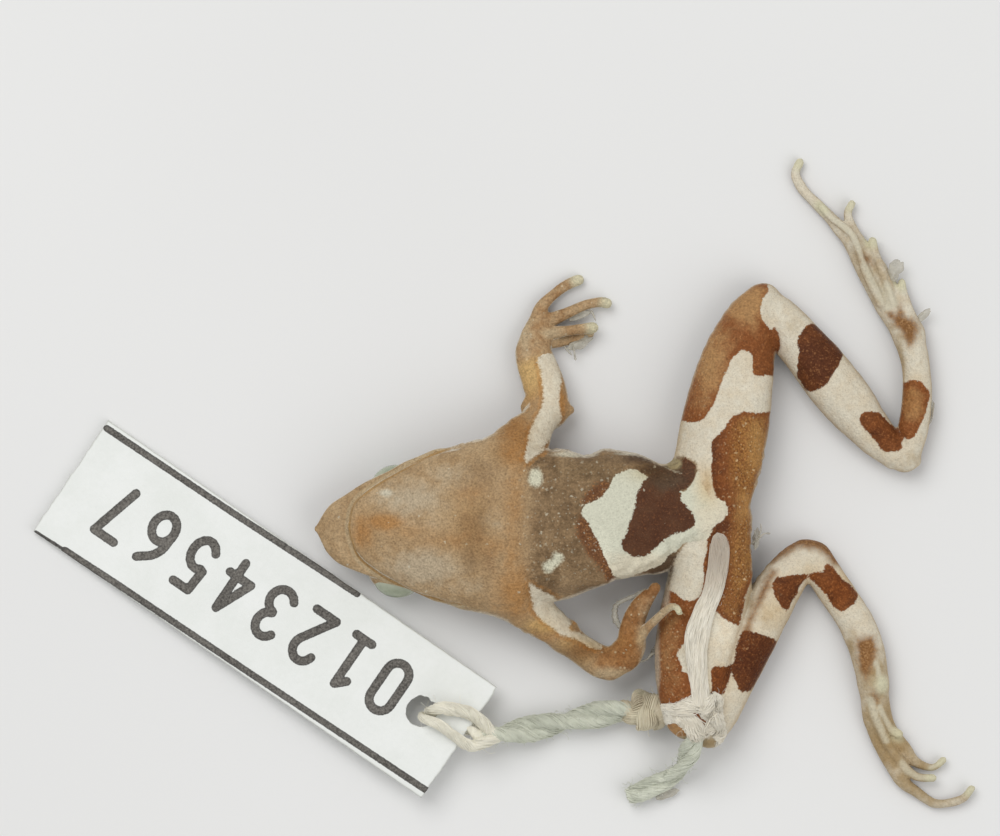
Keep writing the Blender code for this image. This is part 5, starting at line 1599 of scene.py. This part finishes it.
KNOT_WRAPS = millimetres([
    [(595, -1420, 100, 40, 36), (660, -1410, 120, 60, 46), (720, -1420, 124, 62, 48),
     (780, -1426, 130, 36, 30)],
    [(636, -1444, 70, 34, 30), (640, -1434, 130, 50, 36), (666, -1406, 160, 62, 40),
     (688, -1384, 136, 60, 38), (694, -1374, 70, 48, 32)],
    [(732, -1444, 80, 36, 30), (734, -1426, 146, 50, 36), (724, -1390, 166, 62, 40),
     (712, -1358, 136, 60, 38), (706, -1348, 72, 46, 32)],
    [(696, -1420, 110, 34, 30), (714, -1434, 162, 56, 38), (736, -1460, 174, 66, 40),
     (748, -1486, 124, 58, 34), (748, -1488, 62, 42, 30)],
    [(766, -1376, 130, 20, 18), (780, -1396, 186, 26, 22), (784, -1428, 202, 28, 24),
     (780, -1460, 182, 26, 22), (768, -1480, 126, 20, 18)],
])
KNOT_FANS = millimetres([
    [(778, -1410, 20, 14), (840, -1404, 22, 12), (895, -1386, 38, 12), (956, -1381, 42, 12),
     (1001, -1403, 38, 14), (1017, -1442, 38, 16), (1001, -1486, 36, 16), (973, -1531, 30, 18)],
    [(778, -1418, 20, 14), (848, -1424, 28, 12), (895, -1442, 34, 12), (928, -1472, 34, 14),
     (956, -1505, 32, 16), (962, -1540, 28, 18)],
    [(780, -1430, 18, 14), (845, -1444, 22, 12), (884, -1474, 28, 12), (917, -1505, 26, 14),
     (940, -1534, 24, 16)],
    [(786, -1404, 16, 12), (851, -1390, 24, 10), (906, -1362, 36, 10), (962, -1358, 40, 12),
     (1000, -1390, 36, 14), (1006, -1430, 34, 14)],
    [(984, -1350, 44, 14), (1008, -1400, 40, 16), (1017, -1453, 38, 18), (990, -1510, 32, 18)],
])
KNOT_COLLARS = millimetres([
    [(1022, -1340, 16, 16), (1052, -1358, 22, 20), (1062, -1398, 26, 22), (1050, -1442, 30, 24),
     (1028, -1486, 32, 22)],
    [(1036, -1440, 30, 18), (1060, -1480, 38, 22), (1062, -1516, 36, 22), (1036, -1546, 30, 18)],
    [(886, -1492, 24, 16), (936, -1516, 32, 22), (986, -1514, 34, 24), (1028, -1480, 30, 20)],
])
KNOT_RING = millimetres([
    (1020, -1450, 330, 30, 14), (1052, -1480, 270, 30, 14), (1062, -1510, 200, 28, 14),
    (1050, -1540, 120, 28, 14), (1020, -1530, 50, 30, 14), (920, -1480, 24, 36, 12),
    (820, -1440, 30, 36, 14), (750, -1424, 96, 30, 18),
])
TAIL_LINE = millimetres([
    (958, -1496, 260, 22, 18), (948, -1532, 256, 34, 28), (930, -1580, 234, 48, 38),
    (902, -1636, 170, 60, 46), (874, -1694, 106, 58, 46), (816, -1750, 62, 52, 44),
    (746, -1782, 54, 52, 44), (675, -1816, 52, 62, 44), (618, -1834, 48, 78, 40),
])
LOOSE_LINE = millimetres([
    (968, -1384, 28, 16), (950, -1176, 36, 17), (940, -1055, 38, 17), (970, -929, 29, 16),
    (1004, -852, 25, 16), (1028, -760, 27, 13), (1042, -668, 30, 10), (1046, -600, 28, 8),
])
LOOSE_BACK = millimetres([
    (1000, -1384, 26, 16), (976, -1176, 35, 17), (988, -1055, 32, 17), (1015, -939, 29, 16),
    (1040, -876, 28, 15), (1062, -808, 30, 14), (1076, -716, 34, 12), (1084, -644, 33, 10),
    (1074, -590, 28, 8), (1052, -562, 20, 8), (1030, -584, 18, 8), (1020, -660, 16, 9),
])


def build_string(field):
    """The loop through the card, the cord, the knot on the knee, and the two loose ends."""
    tree = yarn_tree()
    cotton = cotton_look("cotton_string_look", (0.74, 0.755, 0.64), (0.54, 0.56, 0.465))
    soaked = cotton_look("soaked_string_look", (0.8, 0.75, 0.58), (0.58, 0.5, 0.36))
    looped = cotton_look("looped_string_look", (0.95, 0.92, 0.8), (0.78, 0.75, 0.63))
    blush = cotton_look("roving_look", (1.0, 0.96, 0.85), (0.95, 0.89, 0.76), 0.85, 0.42)

    def add(node, name, lines, look, **settings):
        """One piece of yarn that stands for a node."""
        ride_as(spun(name, lines, look, tree, field, **settings), "cotton_string", node)

    add(
        "tie_loop", "tie_loop_yarn", [LOOP_UPPER, LOOP_LOWER, LOOP_FILL, LOOP_BELOW], looped,
        plies=1, fibres=100, fibre_reach=0.92, core=6.0, fibre_turns=0.35, seed=3, hairs=30,
    )
    add(
        "cord", "cord_yarn", [CORD_LINE], cotton, turns=1.17, fibre_turns=2.2, fibres=110, seed=5,
        hairs=260, hair_length=0.42 * MM, phase=0.068, points=64, ply_reach=0.42, fibre_reach=0.58,
        waviness=0.15 * MM,
    )
    add(
        "knot", "knot_wraps", KNOT_WRAPS, soaked, plies=1, fibres=88, fibre_reach=0.92, core=8.0,
        fibre_turns=0.12, seed=7, hairs=30, waviness=0.05 * MM,
    )
    add(
        "knot", "knot_fans", [laid(field, rows, 0.05) for rows in KNOT_FANS + KNOT_COLLARS] + [KNOT_RING],
        blush, lift=0.02, plies=1, fibres=72, fibre_reach=0.98, core=2.0, points=32, fibre_turns=0.12,
        seed=9, hairs=24, hair_length=0.7 * MM, waviness=0.26 * MM, thickness=0.017 * MM,
    )
    add(
        "cord_tail", "tail_yarn", [TAIL_LINE], cotton, lift=0.02, turns=0.95, fibre_turns=1.2,
        fibres=110, end_fray=0.12, seed=11, hairs=220, hair_length=0.45 * MM, phase=0.35,
        waviness=0.16 * MM,
    )
    add(
        "loose_strand", "roving", [laid(field, rows, 0.1) for rows in (LOOSE_LINE, LOOSE_BACK)], blush,
        lift=0.02, plies=1, fibres=190, fibre_reach=0.96, core=2.0, turns=0.1, thickness=0.014 * MM,
        fibre_turns=0.1, end_fray=0.1, seed=13, hairs=20, waviness=0.13 * MM, points=56,
    )


# Flakes of shed skin: middle x, y, z, half length, half width, turn in degrees, seed
FLAKES = [
    (19.1, 7.1, 0.74, 0.55, 0.34, 60.0, 1),
    (20.5, 4.95, 0.6, 0.5, 0.18, 40.0, 2),
    (3.86, 3.62, 0.5, 0.66, 0.26, 24.0, 3),
    (3.9, 4.96, 0.6, 0.58, 0.17, 20.0, 4),
    (12.38, -5.83, 1.4, 0.52, 0.17, 84.0, 5),
    (20.9, 0.3, 0.9, 0.55, 0.12, 80.0, 6),
    (7.4, -11.3, 1.6, 0.36, 0.1, 60.0, 7),
    (8.12, -18.25, 0.4, 0.55, 0.22, 20.0, 8),
]

# Thin shreds of skin, as rows of x, y, z and radius
SHREDS = millimetres([
    [(310, 350, 55, 5), (328, 326, 60, 5), (350, 304, 58, 4)],
    [(350, 362, 55, 5), (360, 320, 62, 5), (366, 278, 60, 8)],
    [(430, 534, 60, 5), (450, 506, 66, 6), (464, 470, 60, 3)],
    [(710, -824, 245, 10), (660, -854, 234, 12), (590, -884, 220, 12), (562, -904, 212, 13),
     (554, -936, 208, 15), (560, -978, 208, 16), (586, -1016, 210, 12)],
    [(640, -1205, 170, 6), (673, -1181, 172, 7), (711, -1166, 176, 7), (730, -1144, 180, 7),
     (760, -1136, 184, 5)],
    [(1210, -612, 155, 5), (1250, -584, 160, 6), (1276, -560, 162, 5), (1309, -558, 162, 5)],
    [(1250, -580, 160, 5), (1262, -540, 164, 4), (1260, -510, 166, 3)],
])
SHRED_SIDES = 6
SHRED_CAPS = [(0, [0, 1, 2, 3]), (0, [0, 3, 4, 5]), (-1, [3, 2, 1, 0]), (-1, [5, 4, 3, 0])]
FLAKE_CELLS = (26, 14)
FLAKE_THICKNESS = 0.02
FLAKE_RAGGED = 0.22
FLAKE_RISE = 0.12
SHRED_END = 0.004
SHRED_UNEVEN = 0.15


def flake_look():
    """Dry, half clear shed skin."""
    look = Finish("shed_skin_look", roughness=0.35, specular_ior_level=0.5)
    fine = look.noise(3.0, 2.0)
    colour = look.mix(fine.step(-0.8, 0.8), (0.42, 0.39, 0.31), (0.56, 0.53, 0.44))
    return look.put(base_color=colour, alpha=(fine.step(-0.6, 0.9) * 0.25 + 0.42))


def build_flakes(look):
    """Thin crumpled sheets and shreds as one piece, each closed round its edge."""
    points, faces = [], []

    def add(more, quads):
        faces.append(quads + sum(map(len, points)))
        points.append(more)

    for x, y, z, half_u, half_v, turn, seed in FLAKES:
        ripple = Ripple(40 + seed)
        grid, quads = sheet_grid((1, 1), FLAKE_CELLS)
        flat = np.c_[grid * 1.6, np.zeros(len(grid))]
        ragged = 1 + FLAKE_RAGGED * ripple.layered(flat, 2)
        u = grid[:, 0] * np.sqrt(1 - grid[:, 1] ** 2 / 2) * half_u * ragged
        v = grid[:, 1] * np.sqrt(1 - grid[:, 0] ** 2 / 2) * half_v * ragged
        rise = ripple.layered(flat * 0.6 + 9.0, 1) * FLAKE_RISE
        out_x, out_y = turned(u, v, math.radians(turn))
        sheet = np.c_[x + out_x, y + out_y, z + rise]
        add(*closed_sheet(sheet, sheet - (0, 0, FLAKE_THICKNESS), quads))
    for rows in SHREDS:
        fine = smooth_rows(rows, 6)
        side = sides_along(fine[:, :3], (0.1, 0.2, 1.0))
        over = np.cross(side, np.gradient(fine[:, :3], axis=0))
        over /= np.linalg.norm(over, axis=1)[:, None]
        turns = 2 * np.pi * np.arange(SHRED_SIDES) / SHRED_SIDES
        radii = fine[:, 3] * (1 + SHRED_UNEVEN * np.sin(np.arange(len(fine)) * 1.7))
        radii[[0, -1]] = SHRED_END
        rings = fine[:, None, :3] + radii[:, None, None] * (
            np.cos(turns)[None, :, None] * side[:, None] + np.sin(turns)[None, :, None] * over[:, None]
        )
        number = np.arange(len(fine) * SHRED_SIDES).reshape(len(fine), SHRED_SIDES)
        after = np.roll(number, -1, axis=1)
        quads = np.stack([number[:-1], number[1:], after[1:], after[:-1]], axis=-1).reshape(-1, 4)
        caps = [number[end, corners] for end, corners in SHRED_CAPS]
        add(rings.reshape(-1, 3), np.vstack([quads, caps]))
    placed = np.vstack(points)
    placed[:, 2] = np.maximum(placed[:, 2], FLOOR_GAP)
    return new_object("shed_skin", placed, np.vstack(faces).tolist(), look)


# The picture's frame at the height of the belly, and the camera straight above its middle
PICTURE_WIDTH = 48.38
PICTURE_HEIGHT = 1.5
LENS = 300.0
SENSOR = 36.0
FLOOR_HALF = 3.0
WORLD_STRENGTH = 0.5


def add_camera():
    camera = bpy.data.cameras.new("camera")
    camera.lens = LENS
    camera.sensor_width = SENSOR
    camera.clip_start = 0.01
    made = add_object("camera", camera)
    away = LENS * PICTURE_WIDTH / SENSOR
    made.location = (MOVE[0] * MM, MOVE[1] * MM, (PICTURE_HEIGHT + away) * MM)
    bpy.context.scene.camera = made


def add_light(name, place, size, power):
    """A square soft box that looks at the origin."""
    light = bpy.data.lights.new(name, "AREA")
    light.shape = "SQUARE"
    light.size = size
    light.energy = power
    made = add_object(name, light)
    made.location = place
    made.rotation_euler = (
        math.atan2(math.hypot(place[0], place[1]), place[2]), 0.0,
        math.atan2(-place[1], -place[0]) - math.pi / 2,
    )


def floor_look():
    look = Finish("pale_floor", roughness=0.8)
    lighter = look.noise(0.02, 2.0).step(-1.0, 1.0)
    return look.put(base_color=look.mix(lighter, (0.76, 0.76, 0.75), (0.8, 0.8, 0.79)))


def add_stage():
    """A pale floor under even studio light, seen from straight above as in the picture."""
    corners = [(-1, -1, 0), (1, -1, 0), (1, 1, 0), (-1, 1, 0)]
    mesh = bpy.data.meshes.new("floor")
    mesh.from_pydata([(x * FLOOR_HALF, y * FLOOR_HALF, z) for x, y, z in corners], [], [(0, 1, 2, 3)])
    mesh.materials.append(floor_look())
    floor = add_object("floor", mesh)
    add_camera()
    add_light("key", (-0.12, 0.16, 0.3), 0.25, 0.62)
    add_light("fill", (0.22, -0.12, 0.26), 0.3, 0.34)
    world = bpy.data.worlds.new("studio")
    world.use_nodes = True
    background = world.node_tree.nodes["Background"]
    background.inputs["Color"].default_value = (1.0, 1.0, 1.0, 1.0)
    background.inputs["Strength"].default_value = WORLD_STRENGTH
    bpy.context.scene.world = world
    bpy.context.scene.view_settings.view_transform = "Standard"


def ride_as(piece, slot, *nodes):
    """The piece rides on the one body and stands for the nodes; the slot is not used."""
    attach(piece, "root")
    if nodes:
        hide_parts(*nodes)


FLESH = ["head", "lower_jaw", "chest", "abdomen", "pelvis"]
FLESH += [f"{kind}_{side}" for kind in LIMB_KINDS for side in SIDES]


def main():
    skin, field = build_skin(skin_look())
    ride_as(skin, "preserved_skin", *FLESH)
    wet = eye_look()
    for name in EYES:
        ride_as(build_eye(name, wet), "clouded_eye", name)
    ride_as(build_card(card_look()), "tag_card", "tag")
    build_string(field)
    ride_as(build_flakes(flake_look()), "preserved_skin")
    add_stage()


main()
